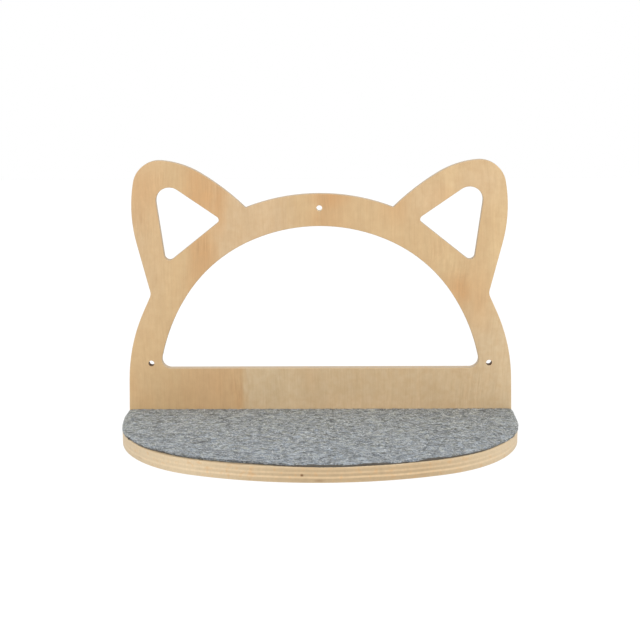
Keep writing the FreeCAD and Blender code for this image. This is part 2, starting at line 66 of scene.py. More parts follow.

# %% [markdown]
# ## Where things are
#
# The felt is rebuilt as a mesh later on, and some of the wood's features, such as
# the painted shade and painted light in the wall holes, sit at a known place. Each
# such size is read from the construction's own boxes and mounts, or is one of its
# real sizes in millimetres.

# %% Read the sizes that the looks follow
panel_low, panel_high = (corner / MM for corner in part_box("back_panel"))
shelf_low, shelf_high = (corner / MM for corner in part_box("shelf_board"))
felt_low, felt_high = (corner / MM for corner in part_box("felt_pad"))
mounts = {mount["name"]: mount for mount in frame["record"]["mounts"]}

PANEL_THICKNESS = panel_high.y - panel_low.y
SHELF_THICKNESS = shelf_high.z - shelf_low.z
FELT_THICKNESS = felt_high.z - felt_low.z
HALF_WIDTH = panel_high.x
FRONT_RADIUS = 325.0
CORNER_RADIUS = 127.0
LOWER_HOLES = mounts["lower_wall_holes"]
HOLE_ACROSS = LOWER_HOLES["dims"]["spacing_x_mm"] / 2
HOLE_HEIGHT = LOWER_HOLES["pos_m"][2] / MM
HOLE_RADIUS = LOWER_HOLES["dims"]["hole_r_mm"]
UPPER_HOLE_HEIGHT = mounts["upper_wall_hole"]["pos_m"][2] / MM

print(f"panel {PANEL_THICKNESS:.1f} mm thick, shelf {SHELF_THICKNESS:.1f} mm thick")
print(f"felt from {felt_low.z:.1f} to {felt_high.z:.1f} mm above the underside")
print(f"lower wall holes {HOLE_ACROSS:.1f} mm from the middle, {HOLE_HEIGHT:.1f} mm up")

# %% [markdown]
# ## The camera
#
# The photograph was taken with a long lens from about 1.4 m away, a little above
# the perch and almost straight in front of it. A long lens keeps the shelf's two
# sides nearly parallel. The place and the turn were found by fitting the known
# corners of the object to where they lie in the picture, so the camera is given
# as those results and not as a point to look at.

# %% Set the camera
PICTURE_SIDE = 640
FOCAL_PIXELS = 1387.5
SENSOR_WIDTH = 36.0
CAMERA_PLACE = Vector((13.8, -1403.2, 427.1)) * MM
PITCH_DOWN = math.radians(12.673)
YAW = math.radians(-0.56)
ROLL = math.radians(-0.285)
VIEW_REACH = 50.0

level_ahead = Vector((math.sin(YAW), math.cos(YAW), 0.0))
ahead = level_ahead * math.cos(PITCH_DOWN) - Vector((0.0, 0.0, math.sin(PITCH_DOWN)))
level_right = Vector((math.cos(YAW), -math.sin(YAW), 0.0))
level_up = level_right.cross(ahead)
right = level_right * math.cos(ROLL) + level_up * math.sin(ROLL)
up = level_up * math.cos(ROLL) - level_right * math.sin(ROLL)

camera = bpy.data.objects.new("camera", bpy.data.cameras.new("camera"))
camera.data.sensor_width = SENSOR_WIDTH
camera.data.lens = SENSOR_WIDTH * FOCAL_PIXELS / PICTURE_SIDE
camera.data.clip_end = VIEW_REACH
camera.matrix_world = Matrix.Translation(CAMERA_PLACE) @ Matrix((right, up, -ahead)).transposed().to_4x4()
bpy.context.scene.collection.objects.link(camera)
bpy.context.scene.camera = camera
print(f"lens {camera.data.lens:.1f} mm")

# %% [markdown]
# ## Colour values
#
# Designers write colours as sRGB hex values, which are bent to suit a screen. A
# shader needs plain amounts of light, so one function straightens each channel.

# %% Turn a hex colour into light
def light_of(hex_colour):
    """The linear red, green, blue and alpha of an sRGB colour such as "#c4a67f"."""
    amounts = []
    for start in (1, 3, 5):
        level = int(hex_colour[start:start + 2], 16) / 255
        amounts.append(level / 12.92 if level <= 0.04045 else ((level + 0.055) / 1.055) ** 2.4)
    return (*amounts, 1.0)


print("mid grey gives", round(light_of("#808080")[0], 3))

# %% [markdown]
# ## One helper for every node
#
# A material is a graph of small steps. This function adds one step, sets its
# options, and plugs in what each input takes: a number, a colour, or another
# step, whose first open output is used.

# %% Add a node with its settings and links
def add(tree, kind, inputs=None, **settings):
    """Adds a shader node. inputs maps a socket's name or number to a value, a socket or a node."""
    node = tree.nodes.new("ShaderNode" + kind)
    for name, value in settings.items():
        setattr(node, name, value)
    open_inputs = [socket for socket in node.inputs if socket.enabled]
    for key, value in (inputs or {}).items():
        socket = open_inputs[key] if isinstance(key, int) else next(s for s in open_inputs if s.name == key)
        if isinstance(value, bpy.types.Node):
            value = next(output for output in value.outputs if output.enabled)
        if isinstance(value, bpy.types.NodeSocket):
            tree.links.new(value, socket)
        else:
            socket.default_value = value
    return node


# %% Start and finish a material
def new_material(name):
    """An empty material with its tree, the point in millimetres and the surface's direction."""
    material = bpy.data.materials.new(name)
    material.use_nodes = True
    tree = material.node_tree
    tree.nodes.clear()
    coordinates = add(tree, "TexCoord")
    point = add(tree, "VectorMath", {0: coordinates.outputs["Object"], "Scale": 1 / MM}, operation="SCALE")
    return material, tree, point, coordinates.outputs["Normal"]


def finish_material(tree, **shader_inputs):
    """Adds the shader with its inputs, whose names have spaces where these have underscores."""
    named = {name.replace("_", " "): value for name, value in shader_inputs.items()}
    shader = add(tree, "BsdfPrincipled", named)
    add(tree, "OutputMaterial", {"Surface": shader})


# %% [markdown]
# ## Tones
#
# Noise in Blender rarely goes below 0.3 or above 0.7, so those two are taken as
# its darkest and its lightest. A tone turns that range into a brightness a few
# percent either side of 1. Several tones multiplied together darken and lighten
# a colour without changing its hue.

# %% Turn noise into brightness
NOISE_LOW, NOISE_HIGH = 0.3, 0.7


def tone_of(tree, pattern, amount):
    """Brightness from 1 - amount to 1 + amount over a noise's usual range."""
    return add(tree, "MapRange", {"Value": pattern, "From Min": NOISE_LOW, "From Max": NOISE_HIGH,
                                  "To Min": 1.0 - amount, "To Max": 1.0 + amount})


def multiplied(tree, tones):
    """All the tones multiplied together."""
    product = 1.0
    for tone in tones:
        product = add(tree, "Math", {0: tone, 1: product}, operation="MULTIPLY")
    return product


def blended(tree, share, first, second):
    """A colour that goes from the first to the second as share goes from 0 to 1."""
    return add(tree, "Mix", {"Factor": share, "A": first, "B": second}, data_type="RGBA")


# %% [markdown]
# ## Birch plywood, as a solid
#
# Birch plywood is a stack of thin veneers, each glued with its grain across the
# one below. It could be painted as two pictures, one for faces and one for
# edges, but they never meet properly at a rounded edge. Here the colour is worked
# out for each point inside the board instead: first which veneer the point lies
# in, then which way the grain runs there. Wherever the saw went, the right thing
# shows: long grain on a face, and light and dark stripes on an edge.
#
# Seven veneers make a board of 9 mm as well as one of 15 mm. A real press never
# leaves them quite flat, so their levels wander by a tenth of a millimetre or two.

# %% Find the veneer that a point lies in
PLY_COUNT = 7
PRESS_WAVE_LENGTH = 38.0
PRESS_WAVE_HEIGHT = 0.25


def veneer_at(tree, point, into_board, start, thickness):
    """The veneer's number from 0, its share of depth, and 0 or 1 for the way of its grain."""
    ply = thickness / PLY_COUNT
    depth = add(tree, "VectorMath", {0: point, 1: into_board}, operation="DOT_PRODUCT")
    wave = add(tree, "TexNoise", {"Vector": point, "Scale": 1 / PRESS_WAVE_LENGTH, "Detail": 1.0})
    shift = add(tree, "MapRange", {"Value": wave, "From Min": NOISE_LOW, "From Max": NOISE_HIGH,
                                   "To Min": start - PRESS_WAVE_HEIGHT,
                                   "To Max": start + PRESS_WAVE_HEIGHT})
    level = add(tree, "Math", {0: depth, 1: shift}, operation="ADD")
    plies_deep = add(tree, "Math", {0: level, 1: ply}, operation="DIVIDE")
    whole = add(tree, "Math", {0: plies_deep}, operation="FLOOR")
    not_below = add(tree, "Math", {0: whole, 1: 0.0}, operation="MAXIMUM")
    number = add(tree, "Math", {0: not_below, 1: PLY_COUNT - 1.0}, operation="MINIMUM")
    share = add(tree, "Math", {0: plies_deep, 1: number}, operation="SUBTRACT")
    crossed = add(tree, "Math", {0: number, 1: 2.0}, operation="MODULO")
    return number, share, crossed


print(f"a veneer is {PANEL_THICKNESS / PLY_COUNT:.2f} mm thick in the panel")
print(f"and {SHELF_THICKNESS / PLY_COUNT:.2f} mm thick in the shelf")

# %% [markdown]
# ## Grain
#
# Peeled birch has quiet grain: soft clouds a few centimetres long, finer streaks
# of some millimetres, and fibres and pores too thin to see one by one. All of
# them are long along the grain and narrow across it. So each is the same kind of
# noise, looked up at a point that is squeezed along the grain, once for each
# real size. A slow sideways push first makes the lines wander like a real tree's.

# %% Lay coordinates along the grain
GRAIN_WANDER = 16.0
GRAIN_WANDER_LENGTH = 110.0
VENEER_STEP = 61.0


def along_grain(tree, point, number, crossed, even_grain, odd_grain):
    """The point along and across the grain, elsewhere for each veneer, and the grain's direction."""
    even = add(tree, "VectorMath", {0: point, 1: even_grain}, operation="DOT_PRODUCT")
    odd = add(tree, "VectorMath", {0: point, 1: odd_grain}, operation="DOT_PRODUCT")
    along = add(tree, "Mix", {"Factor": crossed, "A": even, "B": odd}, data_type="FLOAT")
    across = add(tree, "Mix", {"Factor": crossed, "A": odd, "B": even}, data_type="FLOAT")
    wander = add(tree, "TexNoise", {"Vector": point, "Scale": 1 / GRAIN_WANDER_LENGTH, "Detail": 2.0})
    push = add(tree, "Math", {0: wander, 1: GRAIN_WANDER, 2: across}, operation="MULTIPLY_ADD")
    other_leaf = add(tree, "Math", {0: number, 1: VENEER_STEP}, operation="MULTIPLY")
    grain_point = add(tree, "CombineXYZ", {"X": along, "Y": push, "Z": other_leaf})
    direction = add(tree, "Mix", {"Factor": crossed, "A": even_grain, "B": odd_grain}, data_type="VECTOR")
    return grain_point, direction


# %% Draw one size of grain
def grain_lines(tree, grain_point, size, detail=2.0):
    """Noise from 0 to 1 whose marks have about this length and width, in millimetres."""
    length, width = size
    squeezed = add(tree, "VectorMath", {0: grain_point, 1: (1 / length, 1 / width, 1.0)},
                   operation="MULTIPLY")
    return add(tree, "TexNoise", {"Vector": squeezed, "Scale": 1.0, "Detail": detail})


# %% [markdown]
# ## The face veneer's leaves
#
# The wide face of a board is made of leaves laid side by side, cut from different
# places in the log. The perch shows it: one leaf is honey coloured, the next is
# pale, and a few joins are sharp while other changes are soft. The places are
# listed across the width, in millimetres from the middle. One list is for
# the arch with the ears and one for the rail at the foot, where the saw cut
# through other leaves. The streaks of the grain push each join in and out, so
# that it breaks up like a real one.

# %% Colour the leaves of the panel
PALE_BIRCH = "#c5a983"
BIRCH = "#c4a67b"
STRAW = "#caad81"
HONEY = "#c19d70"
AMBER = "#c09463"
OAT = "#c4a277"
CREAM = "#c8b18d"
SAND = "#c6ad88"
SAPWOOD_AND_PAINTED_LIGHT = "#ccb18c"
ARCH_LEAVES = [(-200, PALE_BIRCH), (-150, BIRCH), (-140, BIRCH), (-128, HONEY), (-114, HONEY),
               (-98, PALE_BIRCH), (-40, PALE_BIRCH), (-20, BIRCH), (-4, BIRCH), (0, HONEY), (12, HONEY),
               (36, BIRCH), (76, BIRCH), (116, BIRCH), (132, STRAW), (148, BIRCH), (168, BIRCH),
               (182, STRAW), (200, STRAW)]
RAIL_LEAVES = [(-200, BIRCH), (-150, BIRCH), (-125, OAT), (-82, OAT), (-75, CREAM), (-30, CREAM),
               (0, SAND), (150, SAND), (200, CREAM)]


def ramp(tree, share, stops, interpolation="LINEAR"):
    """Goes through the stops, each a position from 0 to 1 and a colour, as share goes from 0 to 1."""
    node = add(tree, "ValToRGB", {"Fac": share})
    elements = node.color_ramp.elements
    node.color_ramp.interpolation = interpolation
    elements.remove(elements[0])
    for index, (position, colour) in enumerate(stops):
        stop = elements[0] if index == 0 else elements.new(position)
        stop.position = position
        stop.color = colour
    return node


def across_width(tree, place, stops):
    """A ramp from side to side, whose stops are places in millimetres, each with a colour or a number."""
    share = add(tree, "MapRange", {"Value": place, "From Min": -HALF_WIDTH, "From Max": HALF_WIDTH})
    filled = []
    for across, value in stops:
        colour = light_of(value) if isinstance(value, str) else (value, value, value, 1.0)
        filled.append(((across + HALF_WIDTH) / (2 * HALF_WIDTH), colour))
    return ramp(tree, share, filled)


print(len(ARCH_LEAVES), "colour stops across the arch,", len(RAIL_LEAVES), "across the rail")

# %% [markdown]
# ## Warm and pale patches
#
# Where the knife that peels a log meets slanting fibres, the veneer drinks more
# light and turns a warmer orange brown, and sapwood stays paler than the rest.
# A long pale strip along the foot of the rail is painted light, as light bounced
# up from the felt.
# The perch has more than a dozen warm patches, a few pale ones, and some places
# where the streaks of the grain stand out. Each is a stretched blot at a
# given place, with its outline ruffled by noise, and the strongest one
# wins where two meet.

# %% Place the patches
WARM_PATCHES = [  # across, up, half width, half height, strength
    (-117, 243, 20, 26, 0.75), (-101, 235, 9, 30, 0.8), (-119, 183, 14, 25, 0.62), (-180, 247, 24, 34, 0.5),
    (10, 243, 20, 12, 0.95), (-4, 218, 9, 18, 0.4), (143, 145, 17, 21, 0.85), (162, 134, 15, 34, 0.45),
    (124, 240, 14, 14, 0.3), (77, 236, 15, 22, 0.5), (-106, 46, 12, 22, 0.25), (-140, 36, 26, 24, 0.25),
    (-183, 28, 12, 16, 0.25), (-194, 44, 7, 22, 0.25), (-86, 28, 8, 22, 0.42), (-10, 52, 10, 16, 0.2)]
# The last pale patch, a long strip along the foot of the rail, is painted light bounced up from the felt.
PALE_PATCHES_AND_PAINTED_LIGHT = [(112, 238, 30, 26, 0.45), (163, 257, 36, 26, 0.5), (40, 20, 110, 14, 0.8)]
LIVELY_PLACES = [
    (-182, 215, 16, 34, 1.0), (-118, 190, 16, 30, 0.75), (-108, 245, 14, 26, 0.8), (-84, 40, 12, 30, 1.0),
    (160, 40, 34, 30, 0.9), (6, 235, 14, 20, 0.9), (-160, 262, 24, 16, 0.8), (144, 158, 22, 28, 0.9),
    (121, 186, 22, 22, 0.9)]
CALM_STRENGTH = 0.4
RUFFLE = 16.0
RUFFLE_LENGTH = 22.0
PATCH_EDGE, PATCH_CORE = 1.3, 0.2

print(len(WARM_PATCHES), "warm patches,", len(PALE_PATCHES_AND_PAINTED_LIGHT), "pale,", len(LIVELY_PLACES), "lively")


def patch_share(tree, point, patches, ruffle=RUFFLE, weakest=0.0):
    """How far a point lies inside the patches: weakest outside, and up to a patch's strength inside."""
    wander = add(tree, "TexNoise", {"Vector": point, "Scale": 1 / RUFFLE_LENGTH, "Detail": 3.0})
    centred = add(tree, "VectorMath", {0: wander.outputs["Color"], 1: (0.5, 0.5, 0.5)},
                  operation="SUBTRACT")
    moved = add(tree, "VectorMath", {0: centred, 1: (ruffle, ruffle, ruffle), 2: point},
                operation="MULTIPLY_ADD")
    strongest = weakest
    for across, height, half_width, half_height, strength in patches:
        shifted = add(tree, "VectorMath", {0: moved, 1: (across, 0.0, height)}, operation="SUBTRACT")
        scaled = add(tree, "VectorMath", {0: shifted, 1: (1 / half_width, 0.0, 1 / half_height)},
                     operation="MULTIPLY")
        distance = add(tree, "VectorMath", {0: scaled}, operation="LENGTH")
        inside = add(tree, "MapRange", {"Value": distance, "From Min": PATCH_EDGE, "From Max": PATCH_CORE,
                                        "To Max": strength})
        strongest = add(tree, "Math", {0: inside, 1: strongest}, operation="MAXIMUM")
    return strongest


# %% Blend the arch's leaves into the rail's
LEAF_WANDER = 14.0
LEAF_WANDER_LENGTH = 32.0
FEATHER = 16.0
RAIL_TOP = 90.0
ARCH_FOOT = 150.0


def panel_leaves(tree, point, streaks):
    """The panel's face colour, with joins that wander and feather, and how lively its grain is."""
    wander = add(tree, "TexNoise", {"Vector": point, "Scale": 1 / LEAF_WANDER_LENGTH, "Detail": 2.0})
    push = add(tree, "Math", {0: wander, 1: 0.5}, operation="SUBTRACT")
    feather = add(tree, "Math", {0: streaks, 1: 0.5}, operation="SUBTRACT")
    parts = add(tree, "SeparateXYZ", {0: point})
    place = add(tree, "Math", {0: push, 1: LEAF_WANDER, 2: parts.outputs["X"]}, operation="MULTIPLY_ADD")
    feathered = add(tree, "Math", {0: feather, 1: FEATHER, 2: place}, operation="MULTIPLY_ADD")
    height = add(tree, "MapRange", {"Value": parts.outputs["Z"], "From Min": RAIL_TOP,
                                    "From Max": ARCH_FOOT})
    arch = across_width(tree, feathered, ARCH_LEAVES)
    rail = across_width(tree, feathered, RAIL_LEAVES)
    plain = blended(tree, height, rail, arch)
    paled_and_lit = blended(tree, patch_share(tree, point, PALE_PATCHES_AND_PAINTED_LIGHT), plain, light_of(SAPWOOD_AND_PAINTED_LIGHT))
    warm = blended(tree, patch_share(tree, point, WARM_PATCHES), paled_and_lit, light_of(AMBER))
    return warm, patch_share(tree, point, LIVELY_PLACES, weakest=CALM_STRENGTH)


# %% Colour the shelf's leaves
SHELF_BIRCH = "#cab491"
PALE_SHELF_BIRCH = "#d3c0a0"


def shelf_leaves(tree, point, streaks):
    """The shelf's leaves were left without lacquer, so noise picks between two pale tones."""
    patch = add(tree, "TexNoise", {"Vector": point, "Scale": 1 / LEAF_WANDER_LENGTH, "Detail": 2.0})
    share = add(tree, "MapRange", {"Value": patch, "From Min": NOISE_LOW, "From Max": NOISE_HIGH})
    return blended(tree, share, light_of(SHELF_BIRCH), light_of(PALE_SHELF_BIRCH)), 1.0


# %% [markdown]
# ## From face to cut edge
#
# A sawn edge is paler and less yellow than the lacquered face, because saw dust
# stays in its pores. Sawn across, wood fibres drink in light like a bundle of
# straws, so end grain is a little darker than long grain. On an edge every second
# veneer shows its end, which draws the plywood's stripes, with a hair of dark
# glue between them. The rule needs only the surface's direction: end grain is
# where the surface looks along the fibres. Each veneer also has a tone of its
# own, since it comes from another log. Towards the shelf's two ends the edge is
# painted paler and its stripes fainter, which is painted light. The panel's thin
# edges are paler and greyer still: partly their own sawn tone, partly painted
# light from above and a painted grazing reflection.

# %% Shade the cut edges
SAWN_BIRCH = "#c1a885"
# Painted light: towards its two ends the shelf's edge is painted paler, with fainter stripes.
LIT_END_SAWN_BIRCH = "#d0bb9b"
# The panel's edges are paler and greyer: partly their sawn tone, partly painted light from above and a
# painted grazing reflection.
PALE_AND_LIT_EDGE_BIRCH = "#c4b095"
PAINTED_LIGHT_AT_ENDS = [(-200, 1.0), (-125, 1.0), (-20, 0.0), (100, 0.0), (180, 1.0), (200, 1.0)]
STRIPES_WASHED_OUT = 0.6
END_GRAIN_TONE = 0.93
END_GRAIN_FROM, END_GRAIN_FULL = 0.15, 0.95
GLUE_TONE = 0.74
GLUE_WIDTH = 0.10
VENEER_TONES = (0.97, 0.90, 1.01, 0.86, 1.10, 0.86, 0.83)
SAW_MARK = (16.0, 0.7)
SAW_MARK_TONE = 0.05
EDGE_BLOT_WIDTH = 5.0
EDGE_BLOT_TONE = 0.05
ORANGE_FROM, ORANGE_FULL, ORANGE_SHARE = 0.56, 0.72, 0.45


def veneer_tone(tree, number):
    """The brightness of each veneer on a cut edge, as a ramp with one flat step a veneer."""
    share = add(tree, "Math", {0: number, 1: float(PLY_COUNT)}, operation="DIVIDE")
    stops = []
    for index, tone in enumerate(VENEER_TONES):
        stops.append((max(index - 0.5, 0.0) / PLY_COUNT, (tone, tone, tone, 1.0)))
    return ramp(tree, share, stops, "CONSTANT")


def glue_tone(tree, share, ply):
    """A dark hair at the top and bottom of each veneer."""
    away = add(tree, "Math", {0: share, 1: 0.5}, operation="SUBTRACT")
    from_middle = add(tree, "Math", {0: away}, operation="ABSOLUTE")
    return add(tree, "MapRange", {"Value": from_middle, "From Min": 0.5 - GLUE_WIDTH / ply, "From Max": 0.5,
                                  "To Min": 1.0, "To Max": GLUE_TONE})


def panel_edges(tree, point):
    """The colour of the panel's sawn edges, partly painted light, and the share of the stripes that fades,
    which is none.
    """
    return light_of(PALE_AND_LIT_EDGE_BIRCH), 0.0


def shelf_edges(tree, point):
    """The same for the shelf's edge, painted paler with fainter stripes towards the ends as painted light.
    """
    across = add(tree, "SeparateXYZ", {0: point})
    lit_ends = across_width(tree, across, PAINTED_LIGHT_AT_ENDS)
    colour = blended(tree, lit_ends, light_of(SAWN_BIRCH), light_of(LIT_END_SAWN_BIRCH))
    return colour, multiplied(tree, [lit_ends, STRIPES_WASHED_OUT])


def cut_edge(tree, point, grain_point, direction, normal, number, share, ply, edge_colours):
    """The colour of a sawn edge."""
    facing = add(tree, "VectorMath", {0: normal, 1: direction}, operation="DOT_PRODUCT")
    ends = add(tree, "Math", {0: facing}, operation="ABSOLUTE")
    end_tone = add(tree, "MapRange", {"Value": ends, "From Min": END_GRAIN_FROM,
                                      "From Max": END_GRAIN_FULL, "To Min": 1.0, "To Max": END_GRAIN_TONE})
    marks = tone_of(tree, grain_lines(tree, grain_point, SAW_MARK), SAW_MARK_TONE)
    blots = add(tree, "TexNoise", {"Vector": point, "Scale": 1 / EDGE_BLOT_WIDTH, "Detail": 2.0})
    clean, faded = edge_colours(tree, point)
    stripes = multiplied(tree, [end_tone, veneer_tone(tree, number), glue_tone(tree, share, ply)])
    left_over = add(tree, "Mix", {"Factor": faded, "A": stripes, "B": 1.0}, data_type="FLOAT")
    orange = add(tree, "MapRange", {"Value": blots, "From Min": ORANGE_FROM, "From Max": ORANGE_FULL,
                                    "To Max": ORANGE_SHARE})
    sawn = blended(tree, orange, clean, light_of(AMBER))
    tones = [left_over, marks, tone_of(tree, blots, EDGE_BLOT_TONE)]
    return add(tree, "VectorMath", {0: sawn, "Scale": multiplied(tree, tones)}, operation="SCALE")


# %% [markdown]
# ## Small marks, painted shade and painted light
#
# Two kinds of mark sit on the wood. The walls of the lower wall holes are painted
# dark brown, which is painted shade, and lose their gloss. The wall of the upper
# one is painted pale, which is painted light. The shelf's front edge has a pin
# knot and a few faint blots. Each is a patch again, only smaller and less ruffled.

# %% Change the colour at known places
# Painted shade: the walls of the lower wall holes are painted dark brown.
PAINTED_HOLE_SHADE = "#6e4a28"
# Painted light: the wall of the upper wall hole is painted pale.
PAINTED_BORE_LIGHT = "#f0e2c8"
HOLE_PAINT_REACH = 2.4 * HOLE_RADIUS
KNOT = "#6b4a2c"
SHELF_MARKS = [  # across, up, half width, half height, strength
    (-15.4, 7.5, 1.6, 1.4, 1.0), (0.5, 2.2, 5.0, 1.3, 0.35), (-173.5, 4.2, 3.0, 1.2, 0.22),
    (47.0, 6.5, 5.0, 0.9, 0.14), (-64.0, 1.6, 7.0, 1.0, 0.14), (96.0, 3.6, 6.0, 0.9, 0.12)]
MARK_RUFFLE = 1.0


def on_hole_wall(tree, point, on_edge, across, height):
    """1 on the wall of the hole at this place, else 0."""
    near = patch_share(tree, point, [(across, height, HOLE_PAINT_REACH, HOLE_PAINT_REACH, 1.0)], MARK_RUFFLE)
    return multiplied(tree, [near, on_edge])


def painted_hole_walls(tree, point, on_edge, colour):
    """Paints the holes' walls: painted shade in the lower two, painted light in the upper one. The second
    result is the share of the gloss that is lost.
    """
    mirrored = add(tree, "VectorMath", {0: point}, operation="ABSOLUTE")
    lit_bore = on_hole_wall(tree, point, on_edge, 0.0, UPPER_HOLE_HEIGHT)
    shaded_bore = on_hole_wall(tree, mirrored, on_edge, HOLE_ACROSS, HOLE_HEIGHT)
    lit_bore_colour = blended(tree, lit_bore, colour, light_of(PAINTED_BORE_LIGHT))
    return blended(tree, shaded_bore, lit_bore_colour, light_of(PAINTED_HOLE_SHADE)), shaded_bore


def edge_knots(tree, point, on_edge, colour):
    """Adds the shelf's pin knot and blots, which keep their gloss."""
    return blended(tree, patch_share(tree, point, SHELF_MARKS, MARK_RUFFLE), colour, light_of(KNOT)), 0.0


# %% [markdown]
# ## The whole plywood
#
# The pieces above come together here. Sanded birch under matt lacquer has a soft
# shine, an IOR of about 1.5 and a roughness near 0.55, and the fibres leave
# ridges of a few hundredths of a millimetre that only catch a low light. A sawn
# edge is too open to shine, so it gets less of the gloss. The streaks are strong
# at the lively places and faint elsewhere. Each size below is a length along the
# grain and a width across it, in millimetres, with how far it changes the tone.

# %% Make birch plywood for one board
CLOUD, CLOUD_TONE = (64.0, 15.0), 0.035
STREAK, STREAK_TONE = (42.0, 3.4), 0.04
FIBRE, FIBRE_TONE = (8.0, 1.25), 0.045
MOTTLE_WIDTH, MOTTLE_TONE, MOTTLE_WARMTH = 6.0, 0.02, 0.35
FINE_STREAK = (30.0, 1.7)
FINE_FROM, FINE_FULL, FINE_BROWN = 0.46, 0.74, 0.34
PORE = (3.2, 0.6)
PORE_FROM, PORE_FULL, PORE_BROWN = 0.58, 0.75, 0.35
GRAIN_BROWN = "#96683a"
ROUNDED_FROM, ROUNDED_TO = 0.6, 0.25
RIDGE_HEIGHT, RIDGE_STRENGTH = 0.02, 0.6
WOOD_ROUGHNESS = 0.55
WOOD_IOR = 1.5
FACE_GLOSS, EDGE_GLOSS = 0.5, 0.15


def brown_marks(tree, grain_point):
    """How brown the thin streaks and the pores are."""
    streaks = grain_lines(tree, grain_point, FINE_STREAK)
    streak_share = add(tree, "MapRange", {"Value": streaks, "From Min": FINE_FROM, "From Max": FINE_FULL,
                                          "To Max": FINE_BROWN})
    pores = grain_lines(tree, grain_point, PORE)
    pore_share = add(tree, "MapRange", {"Value": pores, "From Min": PORE_FROM, "From Max": PORE_FULL,
                                        "To Max": PORE_BROWN})
    return add(tree, "Math", {0: streak_share, 1: pore_share}, operation="MAXIMUM")


def birch_plywood(name, into_board, start, thickness, grains, looks):
    """Birch plywood whose veneers lie behind each other along into_board."""
    material, tree, point, normal = new_material(name)
    even_grain, odd_grain = grains
    leaf_colours, edge_colours, edge_marks = looks
    number, share, crossed = veneer_at(tree, point, into_board, start, thickness)
    grain_point, direction = along_grain(tree, point, number, crossed, even_grain, odd_grain)
    streaks = grain_lines(tree, grain_point, STREAK, 3.0)
    fibres = grain_lines(tree, grain_point, FIBRE)
    clouds = grain_lines(tree, grain_point, CLOUD)
    mottle = add(tree, "TexNoise", {"Vector": point, "Scale": 1 / MOTTLE_WIDTH, "Detail": 2.0})
    leaf, lively = leaf_colours(tree, point, streaks)
    warmth = add(tree, "MapRange", {"Value": mottle, "From Min": NOISE_HIGH, "From Max": NOISE_LOW,
                                    "To Max": MOTTLE_WARMTH})
    warmed = blended(tree, warmth, leaf, light_of(HONEY))
    brown = add(tree, "Math", {0: brown_marks(tree, grain_point), 1: lively}, operation="MULTIPLY")
    marked = blended(tree, brown, warmed, light_of(GRAIN_BROWN))
    lines = multiplied(tree, [tone_of(tree, streaks, STREAK_TONE), tone_of(tree, fibres, FIBRE_TONE)])
    calmed = add(tree, "Mix", {"Factor": lively, "A": 1.0, "B": lines}, data_type="FLOAT")
    tones = [tone_of(tree, clouds, CLOUD_TONE), calmed, tone_of(tree, mottle, MOTTLE_TONE)]
    face = add(tree, "VectorMath", {0: marked, "Scale": multiplied(tree, tones)}, operation="SCALE")
    flatness = add(tree, "VectorMath", {0: normal, 1: into_board}, operation="DOT_PRODUCT")
    on_face = add(tree, "Math", {0: flatness}, operation="ABSOLUTE")
    on_edge = add(tree, "MapRange", {"Value": on_face, "From Min": ROUNDED_FROM, "From Max": ROUNDED_TO})
    edge = cut_edge(tree, point, grain_point, direction, normal, number, share,
                    thickness / PLY_COUNT, edge_colours)
    colour, matt = edge_marks(tree, point, on_edge, blended(tree, on_edge, face, edge))
    bump = add(tree, "Bump", {"Height": fibres, "Distance": RIDGE_HEIGHT * MM,
                              "Strength": RIDGE_STRENGTH})
    gloss = add(tree, "MapRange", {"Value": on_edge, "To Min": FACE_GLOSS, "To Max": EDGE_GLOSS})
    kept = add(tree, "Math", {0: 1.0, 1: matt}, operation="SUBTRACT")
    finish_material(tree, Base_Color=colour, Roughness=WOOD_ROUGHNESS, IOR=WOOD_IOR, Normal=bump,
                    Specular_IOR_Level=multiplied(tree, [gloss, kept]))
    return material


# %% [markdown]
# ## Zinc-plated steel
#
# The shelf's screws show only their heads, at the back. Bright zinc plating is a
# bluish silver with a faint cloudy pattern of crystals about a millimetre wide.

# %% Make zinc-plated steel
CRYSTAL_WIDTH = 0.9
DULL_ZINC, CLEAR_ZINC = "#a9b0b7", "#d2d7da"
SMOOTH_CRYSTAL, ROUGH_CRYSTAL = 0.24, 0.42


def zinc_plated_steel():
    """Bright zinc on steel, with roughness that changes from crystal to crystal."""
    material, tree, point, _ = new_material("bright_zinc_plating")
    crystals = add(tree, "TexVoronoi", {"Vector": point, "Scale": 1 / CRYSTAL_WIDTH})
    cloud = add(tree, "TexNoise", {"Vector": point, "Scale": 1 / CRYSTAL_WIDTH, "Detail": 3.0})
    tint = blended(tree, cloud, light_of(DULL_ZINC), light_of(CLEAR_ZINC))
    roughness = add(tree, "MapRange", {"Value": crystals, "To Min": SMOOTH_CRYSTAL,
                                       "To Max": ROUGH_CRYSTAL})
    finish_material(tree, Base_Color=tint, Metallic=1.0, Roughness=roughness)
    return material


# %% [markdown]
# ## Beech
#
# The two dowels are turned beech, pinkish brown with short dark flecks along the
# grain. They are glued inside the joint, and only an X-ray would show them, but a
# part that comes apart on a bench should be right inside too.

# %% Make beech
BEECH_RING = (0.8, 8.0, 0.8)
BEECH_FLECK = (0.35, 1.7, 0.35)
BEECH_BROWN, BEECH_PINK, FLECK_BROWN = "#b98f68", "#d7b188", "#8f6647"
FLECK_FROM, FLECK_FULL = 0.6, 0.7
BEECH_ROUGHNESS = 0.5


